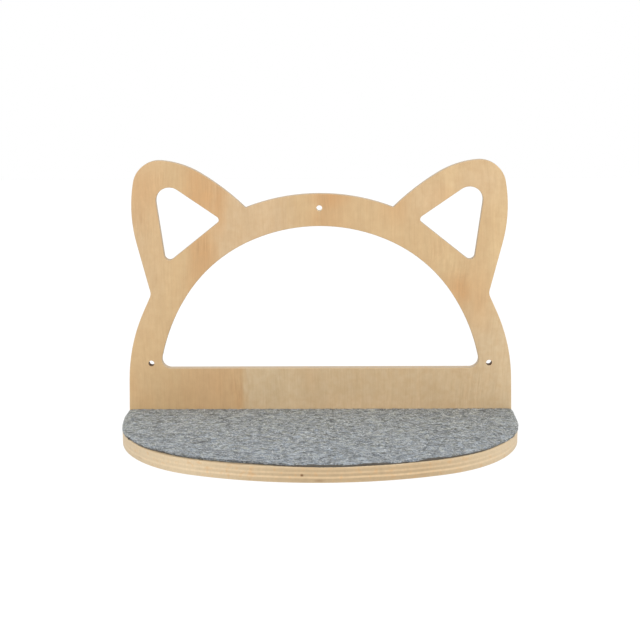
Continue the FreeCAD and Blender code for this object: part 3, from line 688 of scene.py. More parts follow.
def beech():
    """Turned beech with its grain along Y."""
    material, tree, point, _ = new_material("turned_beech")
    squeezed = add(tree, "VectorMath", {0: point, 1: BEECH_RING}, operation="DIVIDE")
    rings = add(tree, "TexNoise", {"Vector": squeezed, "Scale": 1.0, "Detail": 3.0})
    wood = blended(tree, rings, light_of(BEECH_BROWN), light_of(BEECH_PINK))
    short = add(tree, "VectorMath", {0: point, 1: BEECH_FLECK}, operation="DIVIDE")
    flecks = add(tree, "TexNoise", {"Vector": short, "Scale": 1.0, "Detail": 1.0})
    fleck = add(tree, "MapRange", {"Value": flecks, "From Min": FLECK_FROM, "From Max": FLECK_FULL})
    colour = blended(tree, fleck, wood, light_of(FLECK_BROWN))
    finish_material(tree, Base_Color=colour, Roughness=BEECH_ROUGHNESS, IOR=WOOD_IOR)
    return material


# %% [markdown]
# ## Dress the construction
#
# The panel stands up, so its veneers lie behind each other along Y, with the face
# grain upright. The shelf lies flat, so its veneers lie over each other along Z,
# with the face grain running from side to side.

# %% Give each construction piece its material
ALONG_X = (1.0, 0.0, 0.0)
ALONG_Y = (0.0, 1.0, 0.0)
ALONG_Z = (0.0, 0.0, 1.0)

panel_wood = birch_plywood("birch_plywood_panel", (0.0, -1.0, 0.0), panel_high.y, PANEL_THICKNESS,
                           (ALONG_Z, ALONG_X), (panel_leaves, panel_edges, painted_hole_walls))
shelf_wood = birch_plywood("birch_plywood_shelf", (0.0, 0.0, -1.0), shelf_high.z, SHELF_THICKNESS,
                           (ALONG_X, ALONG_Y), (shelf_leaves, shelf_edges, edge_knots))
finishes = {"back_panel": panel_wood, "shelf_board": shelf_wood, "shelf_screw": zinc_plated_steel(),
            "dowel": beech()}

for node_name, piece in nodes.items():
    for name_start, material in finishes.items():
        if node_name.startswith(name_start):
            piece.data.materials.clear()
            piece.data.materials.append(material)
            print(f"{node_name}: {material.name}")

# %% [markdown]
# ## The felt pad's outline
#
# The pad is needle felt, 3 mm thick: loose polyester fibres punched with barbed
# needles until they hold together. It is cut to the shelf's outline with a
# knife. A shape grown from a fine grid suits it, because every small square can
# then be pushed up or down by the felt's own unevenness. First one function
# tells how far any place lies inside the outline: a straight back and sides, a
# front on a large circle, and a smaller circle at each front corner.

# %% Measure how far a place lies inside the outline
FRONT_Y = felt_low.y
BACK_Y = felt_high.y
FRONT_CENTRE = np.array((0.0, FRONT_Y + FRONT_RADIUS))
CORNER_ACROSS = HALF_WIDTH - CORNER_RADIUS
CORNER_REACH = FRONT_RADIUS - CORNER_RADIUS
CORNER_FORWARD = math.sqrt(CORNER_REACH ** 2 - CORNER_ACROSS ** 2)
CORNER_CENTRE = np.array((CORNER_ACROSS, FRONT_CENTRE[1] - CORNER_FORWARD))
TURN_DIRECTION = (CORNER_CENTRE - FRONT_CENTRE) / CORNER_REACH


def from_knife(x, y):
    """How far places lie inside the D's sides and front, in millimetres: negative is outside."""
    mirrored = np.abs(x)
    from_front = FRONT_RADIUS - np.hypot(mirrored - FRONT_CENTRE[0], y - FRONT_CENTRE[1])
    from_corner = CORNER_RADIUS - np.hypot(mirrored - CORNER_CENTRE[0], y - CORNER_CENTRE[1])
    past_turn = TURN_DIRECTION[1] * mirrored - TURN_DIRECTION[0] * (y - FRONT_CENTRE[1]) < 0
    in_corner = past_turn & (y < CORNER_CENTRE[1])
    return np.minimum(HALF_WIDTH - mirrored, np.where(in_corner, from_corner, from_front))


def depth_inside(x, y):
    """How far places lie inside the whole outline, its straight back too."""
    return np.minimum(BACK_Y - y, from_knife(x, y))


print("depth at the middle:", round(float(depth_inside(np.array(0.0), np.array(-100.0))), 1), "mm")

# %% [markdown]
# ## A grid cut to the outline
#
# The grid is laid over the shelf, and the squares outside the outline fall away.
# Their number gives the felt's real area, which is the size that it was cut to.

# %% Lay the grid and keep what is inside
FELT_CELL = 1.25
NEARLY_INSIDE = -0.45 * FELT_CELL


def felt_grid():
    """Corners and squares of a grid over the shelf, cut to the D."""
    columns = int(round(2 * HALF_WIDTH / FELT_CELL)) + 1
    rows = int(round((BACK_Y - FRONT_Y) / FELT_CELL)) + 1
    xs, ys = np.meshgrid(np.linspace(-HALF_WIDTH, HALF_WIDTH, columns), np.linspace(FRONT_Y, BACK_Y, rows))
    keep = depth_inside(xs, ys) > NEARLY_INSIDE
    whole = keep[:-1, :-1] & keep[1:, :-1] & keep[:-1, 1:] & keep[1:, 1:]
    corner = np.arange(columns * rows).reshape(rows, columns)
    squares = np.stack([corner[:-1, :-1], corner[:-1, 1:], corner[1:, 1:], corner[1:, :-1]], axis=-1)[whole]
    used, squares = np.unique(squares, return_inverse=True)
    places = np.column_stack([xs.ravel()[used], ys.ravel()[used]])
    return places, squares.reshape(-1, 4)


felt_places, felt_squares = felt_grid()

# %% [markdown]
# ## The felt's surface
#
# Felt has no weave. Its fibres lie in all directions and bunch into soft lumps a
# few millimetres wide. Two sizes of noise lift and lower the top. A knife presses
# the felt's edge down: hardly at the front, and more at the two ends, where the
# pad rolls over the edge of the shelf. At the back the pad was pushed against the
# panel, which ruffles its edge up. One function gives the height at any place, so
# that the loose fibres added later lie on the same lumps. All the noise comes from
# one block of it, so each use takes a layer of its own, far from the others.

# %% Give the felt's top its height
LUMP_WIDTH, LUMP_HEIGHT = 7.0, 0.20
TUFT_WIDTH, TUFT_HEIGHT = 2.0, 0.16
FRONT_SINK, END_SINK = 0.35, 1.8
ROLL_START, ROLL_END = 150.0, 190.0
EDGE_SOFTNESS = 1.2
BACK_RISE, BACK_SOFTNESS, BACK_RUFFLE_WIDTH = 0.6, 1.6, 3.0
LUMP_LAYER, TUFT_LAYER, RUFFLE_LAYER = 0.0, 9.0, 40.0


def felt_height(x, y):
    """Heights of the felt's top at arrays of places, in millimetres."""
    lumps = [noise.noise((a / LUMP_WIDTH, b / LUMP_WIDTH, LUMP_LAYER)) for a, b in zip(x, y)]
    tufts = [noise.noise((a / TUFT_WIDTH, b / TUFT_WIDTH, TUFT_LAYER)) for a, b in zip(x, y)]
    end_share = np.clip((np.abs(x) - ROLL_START) / (ROLL_END - ROLL_START), 0.0, 1.0)
    sink = FRONT_SINK + (END_SINK - FRONT_SINK) * end_share
    pressed = sink * np.exp(-np.maximum(from_knife(x, y), 0.0) / EDGE_SOFTNESS)
    ruffle = np.array([noise.noise((a / BACK_RUFFLE_WIDTH, 0.0, RUFFLE_LAYER)) for a in x])
    raised = BACK_RISE * (1 + ruffle) * np.exp((y - BACK_Y) / BACK_SOFTNESS)
    uneven = LUMP_HEIGHT * np.array(lumps) + TUFT_HEIGHT * np.array(tufts)
    return felt_high.z + uneven + raised - pressed


print("top at the middle:", np.round(felt_height(np.array([0.0]), np.array([-100.0])), 2), "mm")

# %% [markdown]
# ## Cut the rim and close the pad
#
# The pad was cut by hand, and the knife did not follow the shelf's edge exactly.
# How far short of the edge it stayed was read off the photograph at a few places
# across. At the right end the pad stands over the edge, and so does its left side
# not far from the panel. The rim's corners are moved straight to that line, give
# or take the wobble of the knife, and the rows behind them are smoothed, so that
# no square is left stretched. Then the rim is drawn down to the shelf in a few
# rings, each pushed in and out by noise, because a knife leaves felt's cut edge
# rough, and the underside is closed with one face.

# %% Pull the rim to the knife's line
KNIFE_WOBBLE, WOBBLE_LENGTH, WOBBLE_LAYER = 0.4, 6.0, 3.0
FRAY, FRAY_WIDTH, FRAY_LAYER, FRAY_LAYER_RISE = 0.25, 1.6, 20.0, 5.0
EDGE_LEVELS = (0.74, 0.5, 0.26, 0.0)
KNIFE_LINE = [  # across, how far short of the edge
    (-200, -0.1), (-190, 0.2), (-185, 1.8), (-179, 1.5), (-167, 2.2), (-151, 4.4), (-140, 4.4), (-130, 3.8),
    (-91, 4.3), (-73, 5.2), (-54, 4.0), (-35, 2.8), (0, 0.7), (22, 0.5), (45, 2.0), (76, 2.1), (95, 2.7),
    (113, 2.2), (123, 3.0), (153, 2.3), (164, 1.7), (170, 2.6), (181, 1.3), (185, 0.5), (200, -0.8)]
BULGE, BULGE_PLACE, BULGE_REACH = 1.4, -31.0, 15.0
SMOOTHING_ROUNDS, SMOOTHING_SHARE = 3, 0.5
SMOOTHED_ROWS = 4
FACING_WALL = 0.5
SLOPE_STEP = 0.05
LEAST_SLOPE = 1e-6


def outward(x, y):
    """The direction that leads straight out of the outline, at arrays of places."""
    slope_x = depth_inside(x + SLOPE_STEP, y) - depth_inside(x - SLOPE_STEP, y)
    slope_y = depth_inside(x, y + SLOPE_STEP) - depth_inside(x, y - SLOPE_STEP)
    length = np.maximum(np.hypot(slope_x, slope_y), LEAST_SLOPE)
    return -slope_x / length, -slope_y / length


def rough(x, y, layer, size, amount):
    """Noise from -amount to amount at places along an edge."""
    return amount * np.array([noise.noise((a / size, b / size, layer)) for a, b in zip(x, y)])


def over_edge(x, y):
    """How far the pad stands over the shelf's edge: negative where it ends short."""
    bulge = BULGE * np.exp(-((y - BULGE_PLACE) / BULGE_REACH) ** 2)
    return np.where(x < -ROLL_START, bulge, 0.0) - np.interp(x, *zip(*KNIFE_LINE))


def trim_rim(mesh):
    """Moves the grid's rim to the knife's line and evens out the squares behind it."""
    rim = [vertex for vertex in mesh.verts if vertex.is_boundary]
    x = np.array([vertex.co.x for vertex in rim])
    y = np.array([vertex.co.y for vertex in rim])
    out_x, out_y = outward(x, y)
    knife = over_edge(x, y) + rough(x, y, WOBBLE_LAYER, WOBBLE_LENGTH, KNIFE_WOBBLE)
    move = depth_inside(x, y) + np.where(out_y > FACING_WALL, 0.0, knife)
    for vertex, new_x, new_y in zip(rim, x + out_x * move, y + out_y * move):
        vertex.co.x = new_x
        vertex.co.y = min(new_y, BACK_Y)
    near = [vertex for vertex in mesh.verts if not vertex.is_boundary
            and depth_inside(np.array(vertex.co.x), np.array(vertex.co.y)) < SMOOTHED_ROWS * FELT_CELL]
    for _ in range(SMOOTHING_ROUNDS):
        bmesh.ops.smooth_vert(mesh, verts=near, factor=SMOOTHING_SHARE, use_axis_x=True,
                              use_axis_y=True)


# %% Draw the rim down and close the underside
def close_pad(mesh):
    """Adds the cut edge in rings below the rim, and the underside."""
    ring = [edge for edge in mesh.edges if edge.is_boundary]
    level_above = 1.0
    for level in EDGE_LEVELS:
        made = bmesh.ops.extrude_edge_only(mesh, edges=ring)["geom"]
        ring = [item for item in made if isinstance(item, bmesh.types.BMEdge)]
        corners = [item for item in made if isinstance(item, bmesh.types.BMVert)]
        x = np.array([vertex.co.x for vertex in corners])
        y = np.array([vertex.co.y for vertex in corners])
        out_x, out_y = outward(x, y)
        fray = rough(x, y, FRAY_LAYER + FRAY_LAYER_RISE * level, FRAY_WIDTH, FRAY)
        for vertex, new_x, new_y in zip(corners, x + out_x * fray, y + out_y * fray):
            height = (vertex.co.z - felt_low.z) * level / level_above
            vertex.co = (new_x, min(new_y, BACK_Y), felt_low.z + height)
        level_above = level
    bmesh.ops.contextual_create(mesh, geom=ring)


# %% Build the felt pad
def new_piece(name, mesh):
    """A piece of the object: a mesh in metres, in the scene."""
    piece = bpy.data.objects.new(name, mesh)
    bpy.context.scene.collection.objects.link(piece)
    return piece


def felt_pad():
    """The pad as one closed mesh."""
    pad = bmesh.new()
    corners = [pad.verts.new((x, y, felt_high.z)) for x, y in felt_places]
    for square in felt_squares:
        pad.faces.new([corners[index] for index in square])
    trim_rim(pad)
    heights = felt_height(np.array([vertex.co.x for vertex in pad.verts]),
                          np.array([vertex.co.y for vertex in pad.verts]))
    for vertex, height in zip(pad.verts, heights):
        vertex.co.z = height
    close_pad(pad)
    bmesh.ops.recalc_face_normals(pad, faces=pad.faces)
    bmesh.ops.scale(pad, vec=(MM, MM, MM), verts=pad.verts)
    mesh = bpy.data.meshes.new("felt_pad_top")
    pad.to_mesh(mesh)
    pad.free()
    mesh.shade_smooth()
    return new_piece("needle_felt_pad", mesh)


felt = felt_pad()
print("felt pad:", len(felt.data.polygons), "faces")

# %% [markdown]
# ## Loose fibres
#
# Seen close, grey felt is a mix of pale, grey and nearly black fibres, curled and
# crossing in every direction. A material alone leaves the surface smooth, so the
# uppermost fibres are modelled: each is a thin tube along a path that keeps
# turning a little at random. Real fibres are about 0.05 mm thick. These are drawn
# three times as coarse, because thinner ones would vanish between the pixels.

# %% Walk a set of curly paths over the felt
FIBRE_STEPS = 10
STEP_LENGTH = 1.2
FIBRE_CURL = 0.38
LENGTH_SPREAD = (0.5, 1.3)
RIM_CLEARANCE = 0.3
SPARE_SHARE = 1.6


def fibre_paths(count, seed, highest):
    """Paths of points that lie on the felt, as an array of fibre, point and x, y, z."""
    dice = np.random.default_rng(seed)
    spare = int(count * SPARE_SHARE)
    start_x = dice.uniform(-HALF_WIDTH, HALF_WIDTH, spare)
    start_y = dice.uniform(FRONT_Y, BACK_Y, spare)
    bend = dice.normal(0.0, FIBRE_CURL / 2, (spare, 1)) + dice.normal(0.0, FIBRE_CURL, (spare, FIBRE_STEPS))
    heading = dice.uniform(0.0, 2 * math.pi, (spare, 1)) + np.cumsum(bend, axis=1)
    length = STEP_LENGTH * dice.uniform(*LENGTH_SPREAD, (spare, 1))
    x = start_x[:, None] + np.cumsum(length * np.cos(heading), axis=1)
    y = start_y[:, None] + np.cumsum(length * np.sin(heading), axis=1)
    inside = depth_inside(x, y).min(axis=1) > RIM_CLEARANCE
    x, y = x[inside][:count], y[inside][:count]
    arch = np.sin(np.linspace(0.0, math.pi, FIBRE_STEPS)) * dice.uniform(0.0, highest, (len(x), 1))
    z = felt_height(x.ravel(), y.ravel()).reshape(x.shape) + arch
    return np.stack([x, y, z], axis=-1)


# %% Turn paths into thin tubes
TUBE_SIDES = 3
POINTED = 0.12
BLUNTNESS = 0.35
THICKNESS_SPREAD = (0.6, 1.2)
LEAST_LENGTH = 1e-9


def tubes(name, paths, radius, seed):
    """One mesh of many tapered three-sided tubes, one along each path."""
    dice = np.random.default_rng(seed)
    fibres, steps, _ = paths.shape
    along = np.gradient(paths, axis=1)
    along /= np.maximum(np.linalg.norm(along, axis=2, keepdims=True), LEAST_LENGTH)
    side = np.cross(along, (0.0, 0.0, 1.0))
    side /= np.maximum(np.linalg.norm(side, axis=2, keepdims=True), LEAST_LENGTH)
    above = np.cross(side, along)
    taper = np.sin(np.linspace(POINTED, math.pi - POINTED, steps)) ** BLUNTNESS
    thickness = radius * dice.uniform(*THICKNESS_SPREAD, (fibres, 1)) * taper
    turns = np.arange(TUBE_SIDES) * 2 * math.pi / TUBE_SIDES + math.pi / 2
    ring = np.cos(turns)[:, None] * side[:, :, None, :] + np.sin(turns)[:, None] * above[:, :, None, :]
    corners = paths[:, :, None, :] + ring * thickness[:, :, None, None]
    index = np.arange(fibres * steps * TUBE_SIDES).reshape(fibres, steps, TUBE_SIDES)
    here, there = index[:, :-1], index[:, 1:]
    walls = np.stack([here, np.roll(here, -1, axis=2), np.roll(there, -1, axis=2), there], axis=-1)
    ends = np.concatenate([index[:, 0, ::-1], index[:, -1, :]])
    faces = walls.reshape(-1, 4).tolist() + ends.tolist()
    mesh = bpy.data.meshes.new(name)
    mesh.from_pydata((corners.reshape(-1, 3) * MM).tolist(), [], faces)
    mesh.shade_smooth()
    return new_piece(name, mesh)


# %% Scatter pale and dark fibres
FIBRE_COUNT = 3000
FIBRE_RADIUS = 0.085
PALE_ARCH, DARK_ARCH = 0.25, 0.2
PALE_SEED, DARK_SEED = 11, 21

pale_paths = fibre_paths(FIBRE_COUNT, PALE_SEED, PALE_ARCH)
dark_paths = fibre_paths(FIBRE_COUNT, DARK_SEED, DARK_ARCH)
pale_fibres = tubes("pale_felt_fibres", pale_paths, FIBRE_RADIUS, PALE_SEED + 1)
dark_fibres = tubes("dark_felt_fibres", dark_paths, FIBRE_RADIUS, DARK_SEED + 1)
print("fibres:", len(pale_fibres.data.polygons) + len(dark_fibres.data.polygons), "faces")

# %% [markdown]
# ## Hairs along the cut edge
#
# The knife pulls fibre ends out of the cut, and they hang over the plywood as a
# dark fuzz. Each hair starts just inside the outline, runs out of the felt and
# droops. Places for the roots are drawn at random over the whole shelf, and only
# those that fall into the thin strip behind the outline are kept. At the left end
# a tuft was torn out, which is a dense bundle of the same hairs.

# %% Grow hairs out of the cut edge
HAIR_COUNT = 1100
HAIR_STEPS = 5
HAIR_LENGTH = (0.6, 1.8)
HAIR_RADIUS = 0.07
HAIR_DROOP = (0.3, 1.6)
WIDEST_LEAN = 1.35
ROOT_STRIP = 0.5
ROOT_ABOVE, ROOT_BELOW = 0.3, 0.7
ROOT_TRIES = 400000
FACING_FRONT = -0.35
TORN_PLACE, TORN_WIDTH, TORN_COUNT = (-186.6, -102.0), 0.6, 70
TORN_BELOW, TORN_FALL = 1.0, 0.5
HAIR_SEED, TUFT_SEED = 31, 41


def hair_paths(seed):
    """Paths of short hairs that leave the felt's cut edge and droop."""
    dice = np.random.default_rng(seed)
    x = dice.uniform(-HALF_WIDTH, HALF_WIDTH, ROOT_TRIES)
    y = dice.uniform(FRONT_Y, BACK_Y - 2 * ROOT_STRIP, ROOT_TRIES)
    depth = from_knife(x, y) + over_edge(x, y)
    at_rim = (depth > 0) & (depth < ROOT_STRIP)
    x, y = x[at_rim], y[at_rim]
    in_front = outward(x, y)[1] < FACING_FRONT
    x, y = x[in_front][:HAIR_COUNT], y[in_front][:HAIR_COUNT]
    out_x, out_y = outward(x, y)
    lean = dice.uniform(-WIDEST_LEAN, WIDEST_LEAN, len(x))
    way_x = out_x * np.cos(lean) - out_y * np.sin(lean)
    way_y = out_x * np.sin(lean) + out_y * np.cos(lean)
    length = dice.uniform(*HAIR_LENGTH, len(x))
    travel = np.linspace(0.0, 1.0, HAIR_STEPS)[None, :] * length[:, None]
    root = dice.uniform(felt_low.z + ROOT_ABOVE, felt_high.z - ROOT_BELOW, len(x))
    droop = dice.uniform(*HAIR_DROOP, len(x))[:, None] * (travel / HAIR_LENGTH[1]) ** 2
    z = np.minimum(root[:, None], felt_height(x, y)[:, None]) - droop
    path_x = x[:, None] + way_x[:, None] * travel
    path_y = y[:, None] + way_y[:, None] * travel
    return np.stack([path_x, path_y, z], axis=-1)


def tuft_paths(seed):
    """Paths of the hairs of one torn tuft, which hangs out at the left end."""
    dice = np.random.default_rng(seed)
    x = TORN_PLACE[0] + dice.normal(0.0, TORN_WIDTH, TORN_COUNT)
    y = TORN_PLACE[1] + dice.normal(0.0, TORN_WIDTH, TORN_COUNT)
    travel = np.linspace(0.0, 1.0, HAIR_STEPS)[None, :] * dice.uniform(*HAIR_LENGTH, TORN_COUNT)[:, None]
    way = dice.uniform(math.pi, 2 * math.pi, TORN_COUNT)[:, None]
    root = dice.uniform(felt_low.z, felt_high.z - TORN_BELOW, TORN_COUNT)[:, None]
    z = root - TORN_FALL * travel
    return np.stack([x[:, None] + travel * np.cos(way), y[:, None] + travel * np.sin(way), z], axis=-1)


all_hairs = np.concatenate([hair_paths(HAIR_SEED), tuft_paths(TUFT_SEED)])
edge_hairs = tubes("cut_edge_hairs", all_hairs, HAIR_RADIUS, HAIR_SEED + 1)
print("hairs:", len(edge_hairs.data.polygons), "faces")

# %% [markdown]
# ## Needle felt
#
# The colour of grey felt is a mixture: the eye sees flecks of pale and dark
# fibres at the size of a millimetre, and soft clouds of them at three or four.
# Layers of stretched noise, each turned another way, give crossing flecks, which
# are drawn out a little more from side to side, the way the fibres were combed.
# Some fibres are a warmer grey and some a cooler one. The felt is painted cooler
# and a little paler towards its front, as painted light, and has more dark flecks
# towards the panel, as painted shade. The cut edge shows the felt's dark lower
# layer, whose top goes up and down along the front, and a strip along the back
# gets dark patches of painted shadow where the pad meets the panel. Polyester
# scatters light, so the roughness is near one, and the standing fibre ends give a
# faint sheen.

# %% Make needle felt
FELT_CLOUD_WIDTH, FELT_CLOUD_TONE, FELT_CLOUD_ROUGHNESS = 4.4, 0.84, 0.6
FELT_PATCH_WIDTH, FELT_PATCH_TONE = 12.0, 0.30
FLECK_LENGTH, FLECK_WIDTH, FLECK_CURL = 4.6, 0.6, 0.25
PALE_LAYER, DARK_LAYER, LAYER_PER_ANGLE = 0.0, 500.0, 10.0
FLECK_ANGLES = (8, 47, 82, 118, 160)
DARK_FROM, DARK_FULL, DARK_SHARE = 0.56, 0.685, 1.0
PALE_FROM, PALE_FULL, PALE_SHARE = 0.595, 0.73, 0.84
WARM_GREY, COOL_GREY = "#7e8074", "#737e8a"
DARK_GREY, PALE_GREY = "#2c302f", "#d0d4d5"
# The dark lower layer's colour, also used for the painted shadow along the back.
LOWER_LAYER_AND_SHADOW = "#56514a"
LAYER_LEVELS = [  # across, height above the shelf
    (-200, 1.2), (-188, 1.9), (-178, 1.2), (-164, 1.4), (-150, 1.0), (-130, 0.8), (-110, 0.4), (-91, 0.6),
    (-73, 0.2), (-54, 1.0), (-30, 1.3), (0, 2.9), (20, 2.1), (38, 2.0), (56, 2.8), (76, 0.7), (88, 0.9),
    (113, 2.8), (124, 1.0), (152, 1.4), (170, 0.6), (200, 0.3)]
LAYER_LENGTH, LAYER_WAVE, LAYER_BLUR = 9.0, 0.5, 0.3
SIDEWAYS_FROM, SIDEWAYS_FULL = 0.75, 0.35
ROLLED_AT, ROLLED_SHARE = ROLL_END + 8, 0.2
SHADOW_SPOT_FROM, SHADOW_SPOT_FULL, SHADOW_SPOT_SHARE = 0.50, 0.60, 0.8
FIBRE_LAY = (0.54, 1.04, 1.0)
# Painted shade and light: more dark flecks towards the panel, cooler and paler towards the front.
PAINTED_SHADE_DRIFT = 0.125
CONTACT_SHADOW_STRIP = 1.6
PAINTED_LIGHT_DRIFT = 0.13
HUE_FINENESS = 0.7 / FELT_CLOUD_WIDTH
COOL_FROM, COOL_FULL = 0.4, 0.6
FELT_RELIEF, RELIEF_STRENGTH = 0.5, 0.5
FELT_ROUGHNESS, FELT_IOR, FELT_SHEEN, SHEEN_ROUGHNESS = 0.95, 1.45, 0.15, 0.6


def felt_flecks(tree, point, layer):
    """Crossing fibres: the brightest of several stretched noises, each turned another way."""
    narrowed = (1 / FLECK_LENGTH, 1 / FLECK_WIDTH, 1 / FLECK_WIDTH)
    strongest = 0.0
    for index, angle in enumerate(FLECK_ANGLES):
        turned = add(tree, "Mapping", {"Vector": point, "Rotation": (0.0, 0.0, math.radians(angle)),
                                       "Location": (0.0, 0.0, layer + LAYER_PER_ANGLE * index)})
        squeezed = add(tree, "VectorMath", {0: turned, 1: narrowed}, operation="MULTIPLY")
        fleck = add(tree, "TexNoise", {"Vector": squeezed, "Scale": 1.0, "Detail": 1.0,
                                       "Distortion": FLECK_CURL})
        strongest = add(tree, "Math", {0: fleck, 1: strongest}, operation="MAXIMUM")
    return strongest


def lower_layer_and_shadow_share(tree, point, normal, clouds):
    """1 low on the cut edge, up to a level that goes up and down, and in patches of painted shadow along
    the back, else 0.
    """
    facing = add(tree, "SeparateXYZ", {0: normal})
    sideways = add(tree, "MapRange", {"Value": facing.outputs["Z"], "From Min": SIDEWAYS_FROM,
                                      "From Max": SIDEWAYS_FULL})
    parts = add(tree, "SeparateXYZ", {0: point})
    level = across_width(tree, parts, [(across, up / FELT_THICKNESS) for across, up in LAYER_LEVELS])
    top = add(tree, "Math", {0: level, 1: FELT_THICKNESS, 2: felt_low.z}, operation="MULTIPLY_ADD")
    noisy = add(tree, "TexNoise", {"Vector": point, "Scale": 1 / LAYER_LENGTH, "Detail": 4.0})
    wave = add(tree, "MapRange", {"Value": noisy, "From Min": NOISE_LOW, "From Max": NOISE_HIGH,
                                  "To Min": -LAYER_WAVE, "To Max": LAYER_WAVE})
    wavy_top = add(tree, "Math", {0: top, 1: wave}, operation="ADD")
    above = add(tree, "Math", {0: parts.outputs["Z"], 1: wavy_top}, operation="SUBTRACT")
    low = add(tree, "MapRange", {"Value": above, "From Min": LAYER_BLUR, "From Max": -LAYER_BLUR})
    mirrored = add(tree, "Math", {0: parts.outputs["X"]}, operation="ABSOLUTE")
    not_rolled = add(tree, "MapRange", {"Value": mirrored, "From Min": ROLLED_AT, "From Max": ROLL_START,
                                        "To Min": ROLLED_SHARE})
    cut = multiplied(tree, [low, sideways, not_rolled])
    # Painted shadow: dark patches in a strip along the back, where the pad meets the panel.
    behind = add(tree, "MapRange", {"Value": parts.outputs["Y"], "From Min": BACK_Y - CONTACT_SHADOW_STRIP,
                                    "From Max": BACK_Y})
    shadow_spot_share = add(tree, "MapRange", {"Value": clouds, "From Min": SHADOW_SPOT_FROM, "From Max": SHADOW_SPOT_FULL,
                                  "To Max": SHADOW_SPOT_SHARE})
    painted_contact_shadow = add(tree, "Math", {0: behind, 1: shadow_spot_share}, operation="MULTIPLY")
    return add(tree, "Math", {0: cut, 1: painted_contact_shadow}, operation="MAXIMUM")


def needle_felt():
    """Heathered grey felt with a dark cut edge, painted light towards its front and painted shade towards
    the panel.
    """
    material, tree, point, normal = new_material("polyester_needle_felt")
    combed = add(tree, "VectorMath", {0: point, 1: FIBRE_LAY}, operation="MULTIPLY")
    clouds = add(tree, "TexNoise", {"Vector": combed, "Scale": 1 / FELT_CLOUD_WIDTH, "Detail": 3.0,
                                    "Roughness": FELT_CLOUD_ROUGHNESS})
    hue = add(tree, "TexNoise", {"Vector": point, "Scale": HUE_FINENESS, "Detail": 4.0})
    parts = add(tree, "SeparateXYZ", {0: point})
    # Painted light and shade: the felt is cooler and paler towards the front and darker towards the panel.
    forward = add(tree, "MapRange", {"Value": parts.outputs["Y"], "From Min": BACK_Y, "From Max": FRONT_Y,
                                     "To Min": -PAINTED_LIGHT_DRIFT, "To Max": PAINTED_LIGHT_DRIFT})
    drifted = add(tree, "Math", {0: hue, 1: forward}, operation="ADD")
    cool_share = add(tree, "MapRange", {"Value": drifted, "From Min": COOL_FROM, "From Max": COOL_FULL})
    ground = blended(tree, cool_share, light_of(WARM_GREY), light_of(COOL_GREY))
    broad = add(tree, "TexNoise", {"Vector": point, "Scale": 1 / FELT_PATCH_WIDTH, "Detail": 1.0})
    density = multiplied(tree, [tone_of(tree, clouds, FELT_CLOUD_TONE),
                                tone_of(tree, broad, FELT_PATCH_TONE)])
    uneven = add(tree, "VectorMath", {0: ground, "Scale": density}, operation="SCALE")
    pale = felt_flecks(tree, combed, PALE_LAYER)
    dark = felt_flecks(tree, combed, DARK_LAYER)
    more_behind = add(tree, "Math", {0: forward, 1: -PAINTED_SHADE_DRIFT, 2: dark}, operation="MULTIPLY_ADD")
    dark_share = add(tree, "MapRange", {"Value": more_behind, "From Min": DARK_FROM,
                                        "From Max": DARK_FULL, "To Max": DARK_SHARE})
    darkened = blended(tree, dark_share, uneven, light_of(DARK_GREY))
    pale_share = add(tree, "MapRange", {"Value": pale, "From Min": PALE_FROM, "From Max": PALE_FULL,
                                        "To Max": PALE_SHARE})
    top = blended(tree, pale_share, darkened, light_of(PALE_GREY))
    colour = blended(tree, lower_layer_and_shadow_share(tree, point, normal, clouds), top, light_of(LOWER_LAYER_AND_SHADOW))
    relief = add(tree, "Math", {0: pale, 1: clouds}, operation="ADD")
    bump = add(tree, "Bump", {"Height": relief, "Distance": FELT_RELIEF * MM,
                              "Strength": RELIEF_STRENGTH})
    finish_material(tree, Base_Color=colour, Roughness=FELT_ROUGHNESS, IOR=FELT_IOR, Normal=bump,
                    Sheen_Weight=FELT_SHEEN, Sheen_Roughness=SHEEN_ROUGHNESS)
    return material


# %% Make the fibres' materials
PALE_FIBRE, DARK_FIBRE, BLACK_FIBRE = "#b8bdc0", "#4c5052", "#47443f"
FIBRE_TINT = 0.2
FIBRE_ROUGHNESS, FIBRE_IOR, FIBRE_SHEEN = 0.8, 1.5, 0.1


def fibre_material(name, hex_colour):
    """One colour of polyester fibre, a little lighter in some places than in others."""
    material, tree, point, _ = new_material(name)
    tint = add(tree, "TexNoise", {"Vector": point, "Scale": 1 / FELT_CLOUD_WIDTH, "Detail": 1.0})
    tone = tone_of(tree, tint, FIBRE_TINT)
    colour = add(tree, "VectorMath", {0: light_of(hex_colour)[:3], "Scale": tone}, operation="SCALE")
    finish_material(tree, Base_Color=colour, Roughness=FIBRE_ROUGHNESS, IOR=FIBRE_IOR,
                    Sheen_Weight=FIBRE_SHEEN)
    return material


felt.data.materials.append(needle_felt())
pale_fibres.data.materials.append(fibre_material("pale_polyester_fibre", PALE_FIBRE))
dark_fibres.data.materials.append(fibre_material("dark_polyester_fibre", DARK_FIBRE))
edge_hairs.data.materials.append(fibre_material("black_polyester_fibre", BLACK_FIBRE))
for piece in (felt, pale_fibres, dark_fibres, edge_hairs):
    print(f"{piece.name}: {piece.data.materials[0].name}")

# %% Attach the felt to the root body and hide the plain pad
for piece in (felt, pale_fibres, dark_fibres, edge_hairs):
    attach(piece, "root")
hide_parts("felt_pad")
print("the felt replaces the plain solid felt_pad")

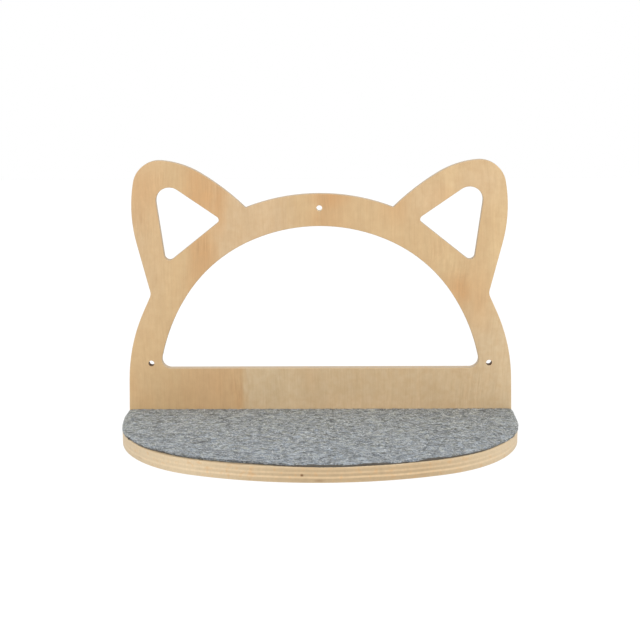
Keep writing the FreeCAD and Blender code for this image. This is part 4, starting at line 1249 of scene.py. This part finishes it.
# %% [markdown]
# ## The studio
#
# The photograph shows the perch on pure white, with no shadow behind it. A white
# floor far below gives that: it is lit so well that it is brighter than the
# picture's white, and the white sky above it goes on without a line. The sky
# lights the perch evenly from all round. One lamp, as wide as a large softbox,
# adds light from above the camera, so that a face that looks forward or up is
# brighter than one that looks away.

# %% Lay the floor
FLOOR_SIZE = 24.0
FLOOR_LEVEL = -1.2
PAPER_WHITE = "#ededed"
PAPER_ROUGHNESS = 0.9

half = FLOOR_SIZE / 2
floor_mesh = bpy.data.meshes.new("studio_floor")
floor_corners = [(-half, -half, FLOOR_LEVEL), (half, -half, FLOOR_LEVEL), (half, half, FLOOR_LEVEL),
                 (-half, half, FLOOR_LEVEL)]
floor_mesh.from_pydata(floor_corners, [], [(0, 1, 2, 3)])
floor = bpy.data.objects.new("studio_floor", floor_mesh)
bpy.context.scene.collection.objects.link(floor)
paper, tree, _, _ = new_material("white_studio_paper")
finish_material(tree, Base_Color=light_of(PAPER_WHITE), Roughness=PAPER_ROUGHNESS)
floor_mesh.materials.append(paper)
print(f"floor {FLOOR_SIZE:.0f} m wide, {-FLOOR_LEVEL:.1f} m below the shelf")

# %% Light the sky and the lamp
SKY_STRENGTH = 1.0
LAMP_STRENGTH = 1.18
LAMP_WIDTH = math.radians(60)
LAMP_DIRECTION = Vector((-0.12, 0.75, -0.65))

world = bpy.data.worlds.new("studio_sky")
bpy.context.scene.world = world
world.use_nodes = True
sky = world.node_tree.nodes["Background"]
sky.inputs["Color"].default_value = light_of("#ffffff")
sky.inputs["Strength"].default_value = SKY_STRENGTH

lamp = bpy.data.objects.new("wide_lamp", bpy.data.lights.new("wide_lamp", "SUN"))
lamp.data.energy = LAMP_STRENGTH
lamp.data.angle = LAMP_WIDTH
lamp.rotation_euler = LAMP_DIRECTION.to_track_quat("-Z", "Y").to_euler()
bpy.context.scene.collection.objects.link(lamp)
bpy.context.scene.view_settings.view_transform = "Standard"
print("sky", SKY_STRENGTH, "lamp", LAMP_STRENGTH)
